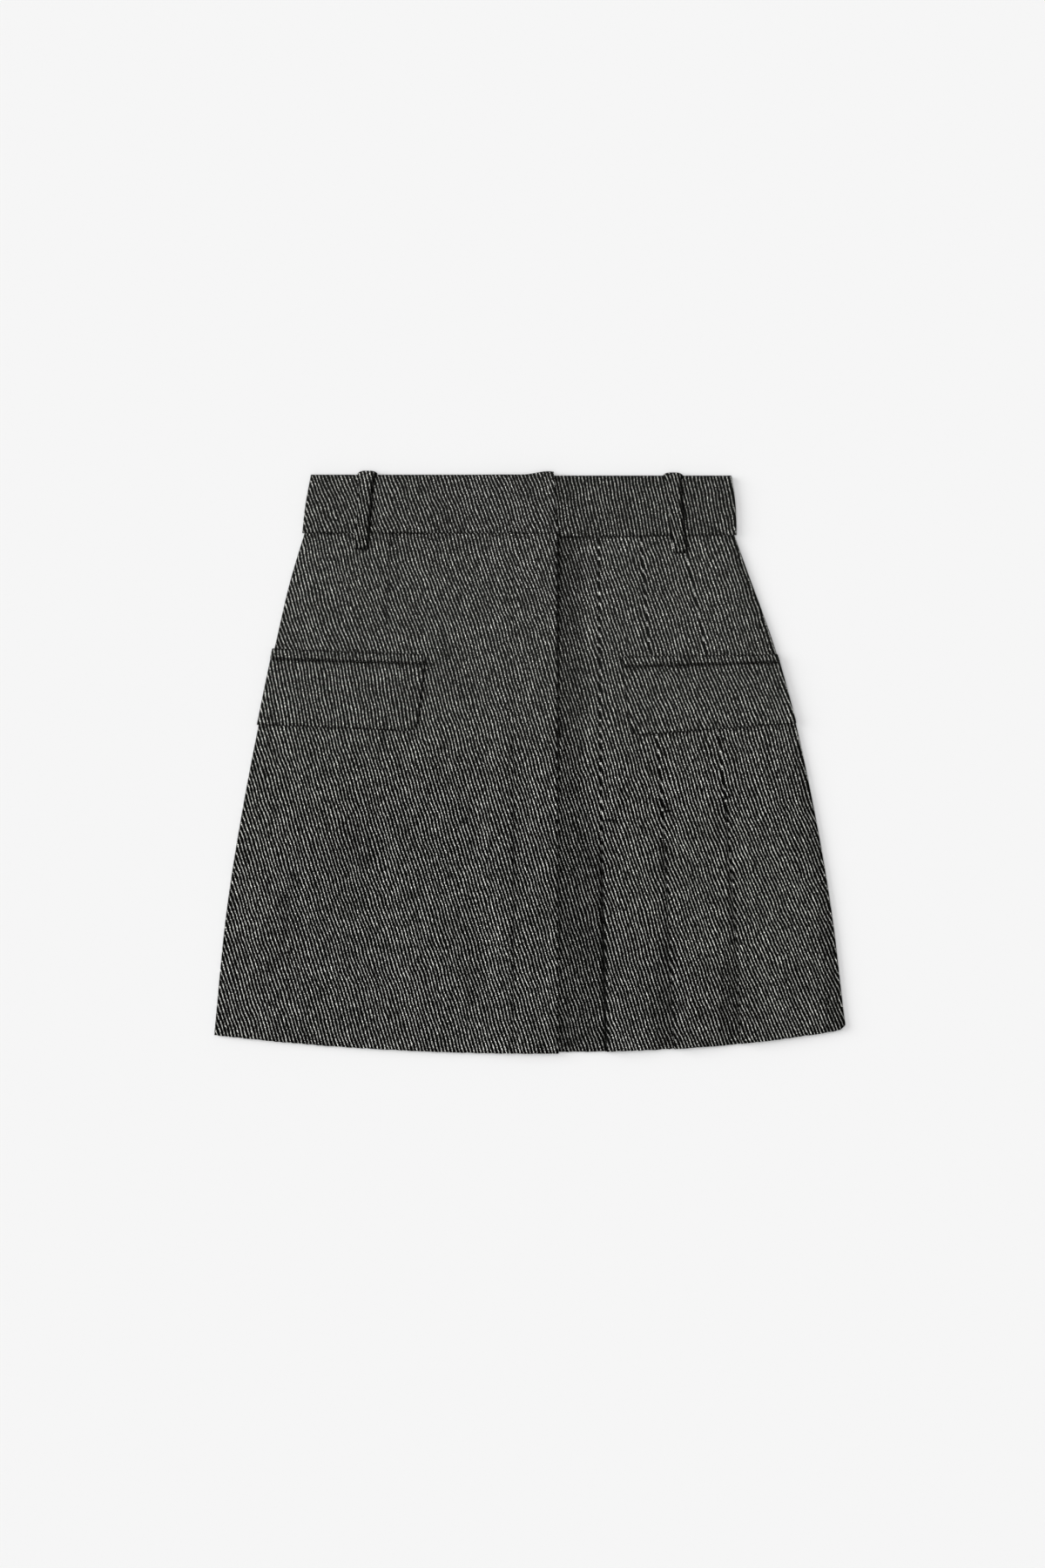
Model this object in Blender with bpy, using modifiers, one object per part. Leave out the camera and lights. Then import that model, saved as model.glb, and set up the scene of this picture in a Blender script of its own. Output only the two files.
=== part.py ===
"""A mini skirt in heavy wool twill, laid flat on its back panel.

X runs across the skirt, Y up towards the waist, and Z up off the surface that the skirt lies on.
The origin is under the middle of the skirt. Right and left are the wearer's, so the right front
is at -X. It laps over the left front, whose three knife pleats face the front edge.

Every cloth wall is a loft: a section across the skirt, drawn as its path in X and Z, is worked out
at each station from the waist seam down to the hem, and the sheet gets its thickness afterwards.
"""

import math
from collections import namedtuple

import bmesh
import bpy
import numpy as np

# Cloth, in metres
CLOTH = 0.0012
BAND_CLOTH = 0.0020
LOOP_CLOTH = 0.0016
FLAP_CLOTH = 0.0014
WELT_CLOTH = 0.0018
GAP = 0.0003
LAYER = CLOTH + GAP
BASE_CLEARANCE = 0.0001

# Heights of the middle of each layer over the surface that the skirt lies on
BACK_LEVEL = CLOTH / 2
BASE_LEVEL = BACK_LEVEL + LAYER + BASE_CLEARANCE
MIDDLE_LEVEL = BASE_LEVEL + LAYER
TOP_LEVEL = MIDDLE_LEVEL + LAYER
SIDE_BEND = 0.0014
SIDE_LEVEL = BACK_LEVEL + 2 * SIDE_BEND
CROWN = 0.0010
WAIST_LIFT = 0.0009
WAIST_LIFT_ENDS = 0.14
SEAM_STUB = 0.00025
SIDE_RADIUS = SIDE_BEND - GAP / 2 - SEAM_STUB

# Waistband
BAND_BACK_LEVEL = BAND_CLOTH / 2
BAND_BEND = 0.0016
BAND_FRONT_LEVEL = BAND_BACK_LEVEL + 2 * BAND_BEND
BAND_LAP_LEVEL = BAND_FRONT_LEVEL + BAND_CLOTH + GAP
BAND_END_RISE = 0.0026
BAND_END_PEAK = 0.0145
BAND_END_REACH = 0.020
BAND_END_SLANT = 0.0028
BAND_UNDERLAP_MORE = 0.002
BAND_SLOPE_CLEARANCE = 0.004
BACK_TUCK = 0.0008

# Seams and hem, as heights in Y
RIGHT_SEAM = 0.1844
LEFT_SEAM_FRONT = 0.1810
LEFT_SEAM_SIDE = 0.1830
SEAM_STEP_STARTS = 0.0006
SEAM_STEP = 0.0040
BACK_SEAM_TURNS = 0.030
RIGHT_HEM = -0.2338
RIGHT_HEM_RISE = 0.0150
RIGHT_HEM_POWER = 2.0
LEFT_HEM = -0.2326
LEFT_HEM_RISE = 0.0185
LEFT_HEM_POWER = 2.5
BACK_HEM_SHORT = 0.0012
HEM_CORNER = 0.0060
CORNER_FADE = 8

# Front opening
FRONT_EDGE_WAIST = 0.0220
FRONT_EDGE_HEM = 0.0231
FACING = 0.038
UNDERLAP = 0.033
LAP_SLOPE = 0.026
FACING_CLEARANCE = 0.002

# Knife pleats
DEPTH_WAIST = 0.013
DEPTH_HEM = 0.020
PLEAT_HOLD = 0.003

# Points along a section
BEND_STEPS = 4
SKIRT_ROWS = 16
BAND_ROWS = 4

# The skirt's sides: share of the way down from the waist seam, and X of each side's outer face
Side = namedtuple("Side", "down left right")
SIDES = (
    Side(0.00, -0.1812, 0.1644),
    Side(0.08, -0.1910, 0.1758),
    Side(0.22, -0.2044, 0.1958),
    Side(0.36, -0.2162, 0.2116),
    Side(0.54, -0.2302, 0.2273),
    Side(0.75, -0.2436, 0.2419),
    Side(1.00, -0.25375, 0.25375),
)

# The pleats' fold edges: X at the waist seam, hip, release and hem, where the pleat is let go,
# and how far its edge stands up at the hem
Pleat = namedtuple("Pleat", "waist hip release hem let_go lift")
PLEAT_STATIONS = (0.0, 0.25, 0.53, 1.0)
PLEATS = (
    Pleat(0.0550, 0.0559, 0.0570, 0.0619, 0.55, 0.0012),
    Pleat(0.0889, 0.0966, 0.1063, 0.1159, 0.54, 0.0008),
    Pleat(0.1224, 0.1426, 0.1573, 0.1698, 0.52, 0.0007),
)

# The waistband's sides: share of the way up from the waist seam, and X of each side's outer face
BandSide = namedtuple("BandSide", "up left right")
BAND_SIDES = (
    BandSide(0.0, -0.1831, 0.1663),
    BandSide(0.5, -0.1804, 0.1654),
    BandSide(1.0, -0.1761, 0.1621),
)
RIGHT_BAND_TOP = 0.2313
LEFT_BAND_TOP = 0.2306

# Each pocket: X of the flap's inner edge at its top and bottom, and heights in Y at the inner
# and outer ends of the welt's top and of the flap's top and bottom
Pocket = namedtuple(
    "Pocket",
    "side inner_top inner_bottom welt_inner welt_outer"
    " top_inner top_outer bottom_inner bottom_outer wrap",
)
POCKETS = {
    "right": Pocket(
        -1, -0.0838, -0.0902, 0.0870, 0.0917, 0.0793, 0.0833, 0.0252, 0.0304, 80
    ),
    "left": Pocket(
        1, 0.0736, 0.0804, 0.0852, 0.0869, 0.0771, 0.0809, 0.0216, 0.0318, 40
    ),
}
FLAP_CORNER = 0.009
FLAP_ROWS = 6
FLAP_COLUMNS = 12
FLAP_SPREAD = 1.6

# Each belt loop: X at its top and bottom, Y of its bottom, and the height of what it lies on
Loop = namedtuple("Loop", "x_top x_bottom y_bottom foot_level")
LOOPS = {
    "right": Loop(-0.1305, -0.1362, 0.1712, 0.0046),
    "left": Loop(0.1145, 0.1222, 0.1680, TOP_LEVEL + CLOTH / 2),
}
LOOP_WIDTH = 0.011
LOOP_TOP = 0.2330
LOOP_ARCH = 0.0005
LOOP_TAIL = 0.0010
LOOP_SEAM_LIFT = 0.0001
SEAM_REACH = 0.004

# How a loop turns over the band's top edge: how far in from its top, and its height over its run
LOOP_TURN = ((0.0, -0.0012), (0.0005, -0.0003), (0.0016, 0.0002))
LOOP_STRAIGHT_STARTS = 0.008
LOOP_COLUMNS = 2

WOOL_TWILL = (0.076, 0.077, 0.073, 1.0)
WOOL_TWILL_DARK = (0.062, 0.063, 0.059, 1.0)
WOOL_ROUGHNESS = 0.92
SHARP_EDGE = 50


def clear_scene():
    for old in list(bpy.data.objects):
        bpy.data.objects.remove(old, do_unlink=True)


def mix(start, end, share):
    return start + (end - start) * share


def ease(share):
    share = min(max(share, 0.0), 1.0)
    return share * share * (3 - 2 * share)


def follow(stations, values, at):
    """The value at one place on a smooth curve through a table's column."""
    slopes = np.gradient(values, stations)
    i = min(max(int(np.searchsorted(stations, at)) - 1, 0), len(stations) - 2)
    span = stations[i + 1] - stations[i]
    s = (at - stations[i]) / span
    start = (1 + 2 * s) * (1 - s) ** 2 * values[i] + s * (1 - s) ** 2 * span * slopes[i]
    end = s * s * (3 - 2 * s) * values[i + 1] + s * s * (s - 1) * span * slopes[i + 1]
    return float(start + end)


def side_x(which, down):
    return follow([s.down for s in SIDES], [getattr(s, which) for s in SIDES], down)


def band_side_x(which, up):
    return follow([s.up for s in BAND_SIDES], [getattr(s, which) for s in BAND_SIDES], up)


def pleat_x(pleat, down):
    return follow(PLEAT_STATIONS, (pleat.waist, pleat.hip, pleat.release, pleat.hem), down)


def pleat_depth(down):
    return mix(DEPTH_WAIST, DEPTH_HEM, down)


def front_edge_x(down):
    return mix(FRONT_EDGE_WAIST, FRONT_EDGE_HEM, down)


# ---- seams and hem ----


def across(x, down):
    """How far out X is, from -1 at the left edge of the picture to 1 at the right edge."""
    return x / (side_x("right", down) if x > 0 else -side_x("left", down))


def left_seam_y(x):
    """The left half's seam, which steps up to the right half's just under the front edge."""
    to_side = (x - FRONT_EDGE_WAIST) / (SIDES[0].right - FRONT_EDGE_WAIST)
    stepped = min(max((x - FRONT_EDGE_WAIST - SEAM_STEP_STARTS) / SEAM_STEP, 0.0), 1.0)
    return mix(RIGHT_SEAM, mix(LEFT_SEAM_FRONT, LEFT_SEAM_SIDE, to_side), stepped)


def back_seam_y(x):
    """The back's seam, level with the right half's and then falling to the left side's."""
    fall = max((x - BACK_SEAM_TURNS) / (SIDES[0].right - BACK_SEAM_TURNS), 0.0)
    return mix(RIGHT_SEAM + GAP, LEFT_SEAM_SIDE, fall)


def corner_lift(x):
    """The rounded corner where the hem meets the left side."""
    inward = max(HEM_CORNER - (SIDES[-1].right - x), 0.0)
    return HEM_CORNER - math.sqrt(max(HEM_CORNER**2 - inward**2, 0.0))


def right_front_y(x, down):
    hem = RIGHT_HEM + RIGHT_HEM_RISE * abs(across(x, down)) ** RIGHT_HEM_POWER
    return mix(RIGHT_SEAM - GAP / 2, hem, down)


def left_front_y(x, down):
    hem = LEFT_HEM + LEFT_HEM_RISE * abs(across(x, down)) ** LEFT_HEM_POWER
    hem += corner_lift(x) * down**CORNER_FADE
    return mix(left_seam_y(x) - GAP / 2, hem, down)


def back_y(x, down):
    share = abs(across(x, down))
    right_half = RIGHT_HEM_RISE * share**RIGHT_HEM_POWER
    left_half = LEFT_HEM_RISE * share**LEFT_HEM_POWER + corner_lift(x) * down**CORNER_FADE
    hem = LEFT_HEM + BACK_HEM_SHORT + (left_half if x > 0 else right_half)
    return mix(back_seam_y(x) - GAP / 2, hem, down)


# ---- heights of the two fronts ----


def waist_lift(down):
    """The fronts rise into the waistband's seam."""
    return WAIST_LIFT * (1 - ease(down / WAIST_LIFT_ENDS))


def crown(share, down):
    """The air that a single layer holds under it."""
    return CROWN * math.sin(math.pi * min(max(share, 0.0), 1.0)) * math.sin(math.pi * min(down, 1.0))


def right_front_level(x, down):
    """The right front's height from its side to its front edge, over the facing."""
    start = side_x("left", down) + SIDE_RADIUS + CLOTH / 2
    slope_ends = front_edge_x(down) - FACING - FACING_CLEARANCE
    slope_starts = slope_ends - LAP_SLOPE
    level = SIDE_LEVEL + crown((x - start) / (slope_starts - start), down)
    lap = ease((x - slope_starts) / LAP_SLOPE)
    return mix(level, TOP_LEVEL, lap) + waist_lift(down)


def left_side_level(x, down):
    """The left front's height from its last pleat to its side."""
    start = pleat_x(PLEATS[-1], down) + pleat_depth(down) + PLEAT_HOLD
    end = side_x("right", down) - SIDE_RADIUS - CLOTH / 2
    share = (x - start) / (end - start)
    return mix(TOP_LEVEL, SIDE_LEVEL, ease(share)) + crown(share, down) / 2


# ---- paths of the sections ----


def bend(x, z, radius, start, end):
    """A round fold from one angle to another, in degrees, without its first point."""
    angles = [math.radians(mix(start, end, i / BEND_STEPS)) for i in range(1, BEND_STEPS + 1)]
    return [(x + radius * math.cos(a), z + radius * math.sin(a)) for a in angles]


def run(start, end, steps, level):
    """An even run from one X to another without its first point; level gives Z for X."""
    places = [mix(start, end, i / steps) for i in range(1, steps + 1)]
    return [(x, level(x)) for x in places]


def half_fold(outer, inward, thickness, level, half_height):
    """Half of the fold round a side, from its seam at mid height to the flat cloth at level."""
    up = 1 if half_height > 0 else -1
    radius = abs(half_height) - GAP / 2 - SEAM_STUB
    wall = outer + inward * thickness / 2
    seam = level - half_height + up * GAP / 2
    path = [(wall, seam)]
    for i in range(BEND_STEPS + 1):
        angle = math.radians(90 * i / BEND_STEPS)
        x = wall + inward * radius * (1 - math.cos(angle))
        path.append((x, seam + up * (SEAM_STUB + radius * math.sin(angle))))
    return path


def side_fold(which, level, down):
    inward = 1 if which == "left" else -1
    half_height = SIDE_BEND if level > BACK_LEVEL else -SIDE_BEND
    return half_fold(side_x(which, down), inward, CLOTH, level, half_height)


def back_section(down):
    left = side_fold("left", BACK_LEVEL, down)
    right = side_fold("right", BACK_LEVEL, down)[::-1]
    floor = run(left[-1][0], BACK_SEAM_TURNS, 6, lambda x: BACK_LEVEL)
    floor += run(BACK_SEAM_TURNS, right[0][0], 4, lambda x: BACK_LEVEL)
    return left + floor + right[1:]


def right_front_section(down):
    edge = front_edge_x(down)
    slope_ends = edge - FACING - FACING_CLEARANCE
    lift = waist_lift(down)
    turn = LAYER / 2

    def level(x):
        return right_front_level(x, down)

    path = side_fold("left", SIDE_LEVEL, down)
    path += run(path[-1][0], slope_ends - LAP_SLOPE, 7, level)
    path += run(slope_ends - LAP_SLOPE, slope_ends, 3, level)
    path += run(slope_ends, edge - turn - CLOTH / 2, 3, level)
    path += bend(edge - turn - CLOTH / 2, TOP_LEVEL - turn + lift, turn, 90, -90)
    path += run(edge - turn - CLOTH / 2, edge - FACING, 3, lambda x: MIDDLE_LEVEL + lift)
    return path


def pleat_path(pleat, down):
    """The three layers of one pleat: under it, back to its fold edge, and over the top."""
    fold, depth = pleat_x(pleat, down), pleat_depth(down)
    lift = pleat.lift * ease((down - pleat.let_go) / (1 - pleat.let_go))
    turn, edge_turn = LAYER / 2, (LAYER + lift) / 2
    inside, first = fold + depth - turn, fold + edge_turn + CLOTH / 2
    path = run(fold, inside, 2, lambda x: BASE_LEVEL)
    path += bend(inside, BASE_LEVEL + turn, turn, -90, 90)
    path += run(inside, first, 2, lambda x: MIDDLE_LEVEL)
    path += bend(first, MIDDLE_LEVEL + edge_turn, edge_turn, 270, 90)

    def over(x):
        return TOP_LEVEL + lift * (1 - ease((x - first) / depth))

    return path + run(first, fold + depth + PLEAT_HOLD, 2, over)


def valley(held, following):
    """From the end of one pleat down to the lowest layer, in front of the next pleat's fold."""
    landing = following - PLEAT_HOLD

    def fall(x):
        return mix(TOP_LEVEL, BASE_LEVEL, ease((x - held) / (landing - held)))

    return run(held, landing, 3, fall) + [(following, BASE_LEVEL)]


def left_front_section(down):
    depth = pleat_depth(down)
    folds = [pleat_x(pleat, down) for pleat in PLEATS]
    start, step = front_edge_x(down) - UNDERLAP, FRONT_EDGE_WAIST + SEAM_STEP_STARTS
    path = [(start, BASE_LEVEL)] + run(start, step, 2, lambda x: BASE_LEVEL)
    path += run(step, step + SEAM_STEP, 1, lambda x: BASE_LEVEL)
    path += run(step + SEAM_STEP, folds[0], 2, lambda x: BASE_LEVEL)
    for pleat, fold, following in zip(PLEATS, folds, folds[1:] + [None]):
        path += pleat_path(pleat, down)
        held = fold + depth + PLEAT_HOLD
        if following is None:
            side = side_fold("right", SIDE_LEVEL, down)[::-1]
            path += run(held, side[0][0], 4, lambda x: left_side_level(x, down))
            path += side[1:]
        else:
            path += valley(held, following)
    return path


# ---- making the sheets ----


def sheet(name, rows, thickness, colour):
    """A wall lofted through rows of points, all with the same number of points."""
    columns = len(rows[0]) - 1
    mesh = bpy.data.meshes.new(name)
    grid = bmesh.new()
    bmesh.ops.create_grid(grid, x_segments=columns, y_segments=len(rows) - 1, size=1.0)
    for vertex in grid.verts:
        column = round((vertex.co.x + 1) / 2 * columns)
        row = round((vertex.co.y + 1) / 2 * (len(rows) - 1))
        vertex.co = rows[row][column]
    grid.to_mesh(mesh)
    grid.free()
    mesh.shade_smooth()
    mesh.set_sharp_from_angle(angle=math.radians(SHARP_EDGE))
    piece = bpy.data.objects.new(name, mesh)
    garment.objects.link(piece)
    mesh.materials.append(wool(name, colour))
    wall = piece.modifiers.new("wall", "SOLIDIFY")
    wall.thickness = thickness
    wall.offset = 0.0
    wall.use_even_offset = True
    wall.use_quality_normals = True
    return piece


def wool(name, colour):
    cloth = bpy.data.materials.new(name)
    cloth.use_nodes = True
    shader = cloth.node_tree.nodes["Principled BSDF"]
    shader.inputs["Base Color"].default_value = colour
    shader.inputs["Roughness"].default_value = WOOL_ROUGHNESS
    shader.inputs["Metallic"].default_value = 0.0
    return cloth


def skirt_panel(name, section, height):
    """A panel from the waist seam to the hem."""
    rows = []
    for row in range(SKIRT_ROWS + 1):
        down = row / SKIRT_ROWS
        rows.append([(x, height(x, down), z) for x, z in section(down)])
    return sheet(name, rows[::-1], CLOTH, WOOL_TWILL)


# ---- waistband ----


def band_fold(which, level, up):
    inward = 1 if which == "left" else -1
    half_height = BAND_BEND if level > BAND_BACK_LEVEL else -BAND_BEND
    return half_fold(band_side_x(which, up), inward, BAND_CLOTH, level, half_height)


def band_back_section(up):
    left = band_fold("left", BAND_BACK_LEVEL, up)
    right = band_fold("right", BAND_BACK_LEVEL, up)[::-1]
    floor = run(left[-1][0], BACK_SEAM_TURNS, 4, lambda x: BAND_BACK_LEVEL)
    floor += run(BACK_SEAM_TURNS, right[0][0], 3, lambda x: BAND_BACK_LEVEL)
    return left + floor + right[1:]


def band_right_section(up):
    """The right end of the waistband, which climbs over the left end's underlap."""
    edge = FRONT_EDGE_WAIST - BAND_END_SLANT * up
    slope_ends = edge - FACING - BAND_SLOPE_CLEARANCE

    def climb(x):
        lap = ease((x - slope_ends + LAP_SLOPE) / LAP_SLOPE)
        return mix(BAND_FRONT_LEVEL, BAND_LAP_LEVEL, lap)

    path = band_fold("left", BAND_FRONT_LEVEL, up)
    path += run(path[-1][0], slope_ends - LAP_SLOPE, 4, climb)
    path += run(slope_ends - LAP_SLOPE, slope_ends, 3, climb)
    return path + run(slope_ends, edge, 6, climb)


def band_left_section(up):
    start = FRONT_EDGE_WAIST - UNDERLAP - BAND_UNDERLAP_MORE
    step = FRONT_EDGE_WAIST + SEAM_STEP_STARTS

    def level(x):
        return BAND_FRONT_LEVEL

    side = band_fold("right", BAND_FRONT_LEVEL, up)[::-1]
    path = [(start, BAND_FRONT_LEVEL)] + run(start, step, 2, level)
    path += run(step, step + SEAM_STEP, 1, level)
    path += run(step + SEAM_STEP, side[0][0], 6, level)
    return path + side[1:]


def band_end_rise(x):
    """The band's top edge kicks up a little close to its right end."""
    return BAND_END_RISE * (1 - ease(abs(x - BAND_END_PEAK) / BAND_END_REACH))


def waistband_piece(name, section, seam, top):
    rows = []
    for row in range(BAND_ROWS + 1):
        up = row / BAND_ROWS
        rows.append([(x, mix(seam(x) + GAP / 2, top(x), up), z) for x, z in section(up)])
    return sheet(name, rows, BAND_CLOTH, WOOL_TWILL_DARK)


def make_waistband():
    waistband_piece(
        "waistband_back", band_back_section, back_seam_y, lambda x: LEFT_BAND_TOP - BACK_TUCK
    )
    waistband_piece(
        "waistband_right",
        band_right_section,
        lambda x: RIGHT_SEAM,
        lambda x: RIGHT_BAND_TOP + band_end_rise(x),
    )
    waistband_piece("waistband_left", band_left_section, left_seam_y, lambda x: LEFT_BAND_TOP)


# ---- pockets ----


def pocket_down(pocket, y):
    """How far down the side the height Y is."""
    seam = RIGHT_SEAM if pocket.side < 0 else LEFT_SEAM_SIDE
    hem = RIGHT_HEM + RIGHT_HEM_RISE if pocket.side < 0 else LEFT_HEM + LEFT_HEM_RISE
    return (seam - y) / (seam - hem)


def carrier_level(pocket, x, down):
    """The height of the cloth that a pocket lies on. Its stiff flap bridges the pleats' steps."""
    if pocket.side < 0:
        return right_front_level(x, down)
    return left_side_level(max(x, pleat_x(PLEATS[-1], down)), down)


def pocket_row(pocket, inner_x, inner_y, outer_y, thickness):
    """Points from the inner end, over the front and round its side, above the front's own."""
    down = pocket_down(pocket, outer_y)
    proud = CLOTH / 2 + GAP + thickness / 2
    which = "left" if pocket.side < 0 else "right"
    centre = side_x(which, down) - pocket.side * (SIDE_RADIUS + CLOTH / 2)
    radius = SIDE_RADIUS + proud
    points = []
    for i in range(FLAP_COLUMNS + 1):
        share = (i / FLAP_COLUMNS) ** FLAP_SPREAD
        x = mix(inner_x, centre, share)
        points.append((x, mix(inner_y, outer_y, share), carrier_level(pocket, x, down) + proud))
    for i in range(1, BEND_STEPS + 1):
        angle = math.radians(pocket.wrap * i / BEND_STEPS)
        x = centre + pocket.side * radius * math.sin(angle)
        points.append((x, outer_y, SIDE_LEVEL - SIDE_RADIUS + radius * math.cos(angle)))
    return points


def make_welt(name, pocket):
    rows = []
    for share in (0.0, 0.5, 1.0):
        inner = mix(pocket.top_inner + GAP, pocket.welt_inner, share)
        outer = mix(pocket.top_outer + GAP, pocket.welt_outer, share)
        rows.append(pocket_row(pocket, pocket.inner_top, inner, outer, WELT_CLOTH))
    return sheet(name + "_pocket_welt", rows, WELT_CLOTH, WOOL_TWILL_DARK)


def make_flap(name, pocket):
    """The flap's lower inner corner is round, so its lower rows start further out and higher up."""
    rows = []
    for row in range(FLAP_ROWS + 1):
        share = row / FLAP_ROWS
        inner_x = mix(pocket.inner_bottom, pocket.inner_top, share)
        inner_y = mix(pocket.bottom_inner, pocket.top_inner, share)
        outer_y = mix(pocket.bottom_outer, pocket.top_outer, share)
        points = pocket_row(pocket, inner_x, inner_y, outer_y, FLAP_CLOTH)
        lifted = []
        for x, y, z in points:
            inward = max(FLAP_CORNER - abs(x - pocket.inner_bottom), 0.0)
            lift = FLAP_CORNER - math.sqrt(FLAP_CORNER**2 - min(inward, FLAP_CORNER) ** 2)
            lifted.append((x, y + lift * (1 - share) ** 2, z))
        rows.append(lifted)
    return sheet(name + "_pocket_flap", rows, FLAP_CLOTH, WOOL_TWILL)


# ---- belt loops ----


def make_loop(name, loop):
    """A strip that starts over the band's top edge, lies down it and ends below the seam."""
    half = LOOP_CLOTH / 2
    band_top = BAND_FRONT_LEVEL + BAND_CLOTH / 2 + GAP + half
    foot = loop.foot_level + GAP + half
    path = [(LOOP_TOP, BAND_FRONT_LEVEL - LOOP_TAIL)]
    path += [(LOOP_TOP - inward, band_top + rise) for inward, rise in LOOP_TURN]
    path += [
        (RIGHT_BAND_TOP - LOOP_STRAIGHT_STARTS, band_top + LOOP_ARCH),
        (mix(RIGHT_BAND_TOP, RIGHT_SEAM, 0.5), band_top + LOOP_ARCH),
        (RIGHT_SEAM + SEAM_REACH, band_top + LOOP_ARCH / 2),
        (LEFT_SEAM_SIDE - SEAM_REACH, mix(band_top, foot, 0.7) + LOOP_SEAM_LIFT),
        (loop.y_bottom, foot),
    ]
    rows = []
    for y, z in reversed(path):
        x = mix(loop.x_bottom, loop.x_top, (y - loop.y_bottom) / (LOOP_TOP - loop.y_bottom))
        across_strip = [LOOP_WIDTH * (i / LOOP_COLUMNS - 0.5) for i in range(LOOP_COLUMNS + 1)]
        rows.append([(x + aside, y, z) for aside in across_strip])
    return sheet("belt_loop_" + name, rows, LOOP_CLOTH, WOOL_TWILL_DARK)


clear_scene()
garment = bpy.data.collections.new("mini_skirt")
bpy.context.scene.collection.children.link(garment)

skirt_panel("back_panel", back_section, back_y)
skirt_panel("right_front", right_front_section, right_front_y)
skirt_panel("left_front", left_front_section, left_front_y)
make_waistband()
for pocket_name, pocket_sizes in POCKETS.items():
    make_welt(pocket_name, pocket_sizes)
    make_flap(pocket_name, pocket_sizes)
for loop_name, loop_sizes in LOOPS.items():
    make_loop(loop_name, loop_sizes)
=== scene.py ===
from collections import namedtuple
from functools import lru_cache
from math import atan2, cos, degrees, exp, hypot, pi, radians, sin, sqrt, tan

import bmesh
import bpy
import numpy as np
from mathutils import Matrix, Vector, noise


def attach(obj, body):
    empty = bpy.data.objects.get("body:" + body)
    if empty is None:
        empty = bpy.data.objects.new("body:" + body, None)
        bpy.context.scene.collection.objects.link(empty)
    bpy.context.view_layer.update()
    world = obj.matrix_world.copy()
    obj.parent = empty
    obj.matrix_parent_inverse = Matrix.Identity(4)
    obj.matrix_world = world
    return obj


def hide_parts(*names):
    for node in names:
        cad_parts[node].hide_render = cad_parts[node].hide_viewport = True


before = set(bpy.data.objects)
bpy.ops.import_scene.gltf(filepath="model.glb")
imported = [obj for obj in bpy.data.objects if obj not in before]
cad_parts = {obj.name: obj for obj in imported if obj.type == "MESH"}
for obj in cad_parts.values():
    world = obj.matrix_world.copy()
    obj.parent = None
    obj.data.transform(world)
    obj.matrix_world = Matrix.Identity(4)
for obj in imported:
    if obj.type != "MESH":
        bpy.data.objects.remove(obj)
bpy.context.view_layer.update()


def add_to_scene(thing):
    bpy.context.scene.collection.objects.link(thing)


# ---- Floor, light and camera ----
# A pale table seen from straight above, in an even white room with a broad lamp over it. A low,
# wide lamp on the left leaves a soft shade along the skirt's right side and beside its folds.
FLOOR_WIDTH = 16.0
FLOOR_DROP = 0.0004
FLOOR_TONE = (0.90, 0.90, 0.90, 1.0)
CAMERA_X = -0.00595
CAMERA_Y = -0.01715
CAMERA_HEIGHT = 3.0
CLOTH_HEIGHT = 0.004
VIEW_HEIGHT = 1.260
SENSOR = 36.0
FARTHEST = 60.0
ROOM_TONE = (1.0, 1.0, 1.0, 1.0)
ROOM_STRENGTH = 0.24
Lamp = namedtuple("Lamp", "strength elevation azimuth spread")
LAMPS = {"overhead": Lamp(1.62, 86, 150, 50), "side": Lamp(1.80, 28, 166, 40)}

room = bpy.data.worlds.new("room")
room.use_nodes = True
walls = room.node_tree.nodes["Background"]
walls.inputs["Color"].default_value = ROOM_TONE
walls.inputs["Strength"].default_value = ROOM_STRENGTH
bpy.context.scene.world = room
bpy.context.scene.view_settings.view_transform = "Standard"

floor_paint = bpy.data.materials.new("floor_paint")
floor_paint.use_nodes = True
paint = floor_paint.node_tree.nodes["Principled BSDF"]
paint.inputs["Base Color"].default_value = FLOOR_TONE
paint.inputs["Roughness"].default_value = 1.0
paint.inputs["Specular IOR Level"].default_value = 0.0
patch = bmesh.new()
bmesh.ops.create_grid(patch, x_segments=4, y_segments=4, size=FLOOR_WIDTH / 2)
bmesh.ops.translate(patch, verts=patch.verts, vec=(0, 0, -FLOOR_DROP))
floor_mesh = bpy.data.meshes.new("floor")
patch.to_mesh(floor_mesh)
patch.free()
floor_mesh.materials.append(floor_paint)
floor = bpy.data.objects.new("floor", floor_mesh)
add_to_scene(floor)

for lamp_name, lamp in LAMPS.items():
    light = bpy.data.lights.new(lamp_name, "SUN")
    light.energy = lamp.strength
    light.angle = radians(lamp.spread)
    elevation = radians(lamp.elevation)
    azimuth = radians(lamp.azimuth)
    level = cos(elevation)
    towards = Vector((level * cos(azimuth), level * sin(azimuth), sin(elevation)))
    lit = bpy.data.objects.new(lamp_name, light)
    lit.rotation_euler = towards.to_track_quat("Z", "Y").to_euler()
    add_to_scene(lit)

optics = bpy.data.cameras.new("camera")
optics.sensor_width = SENSOR
optics.lens = SENSOR * (CAMERA_HEIGHT - CLOTH_HEIGHT) / VIEW_HEIGHT
optics.clip_end = FARTHEST
camera = bpy.data.objects.new("camera", optics)
camera.location = (CAMERA_X, CAMERA_Y, CAMERA_HEIGHT)
add_to_scene(camera)
bpy.context.scene.camera = camera


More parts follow.
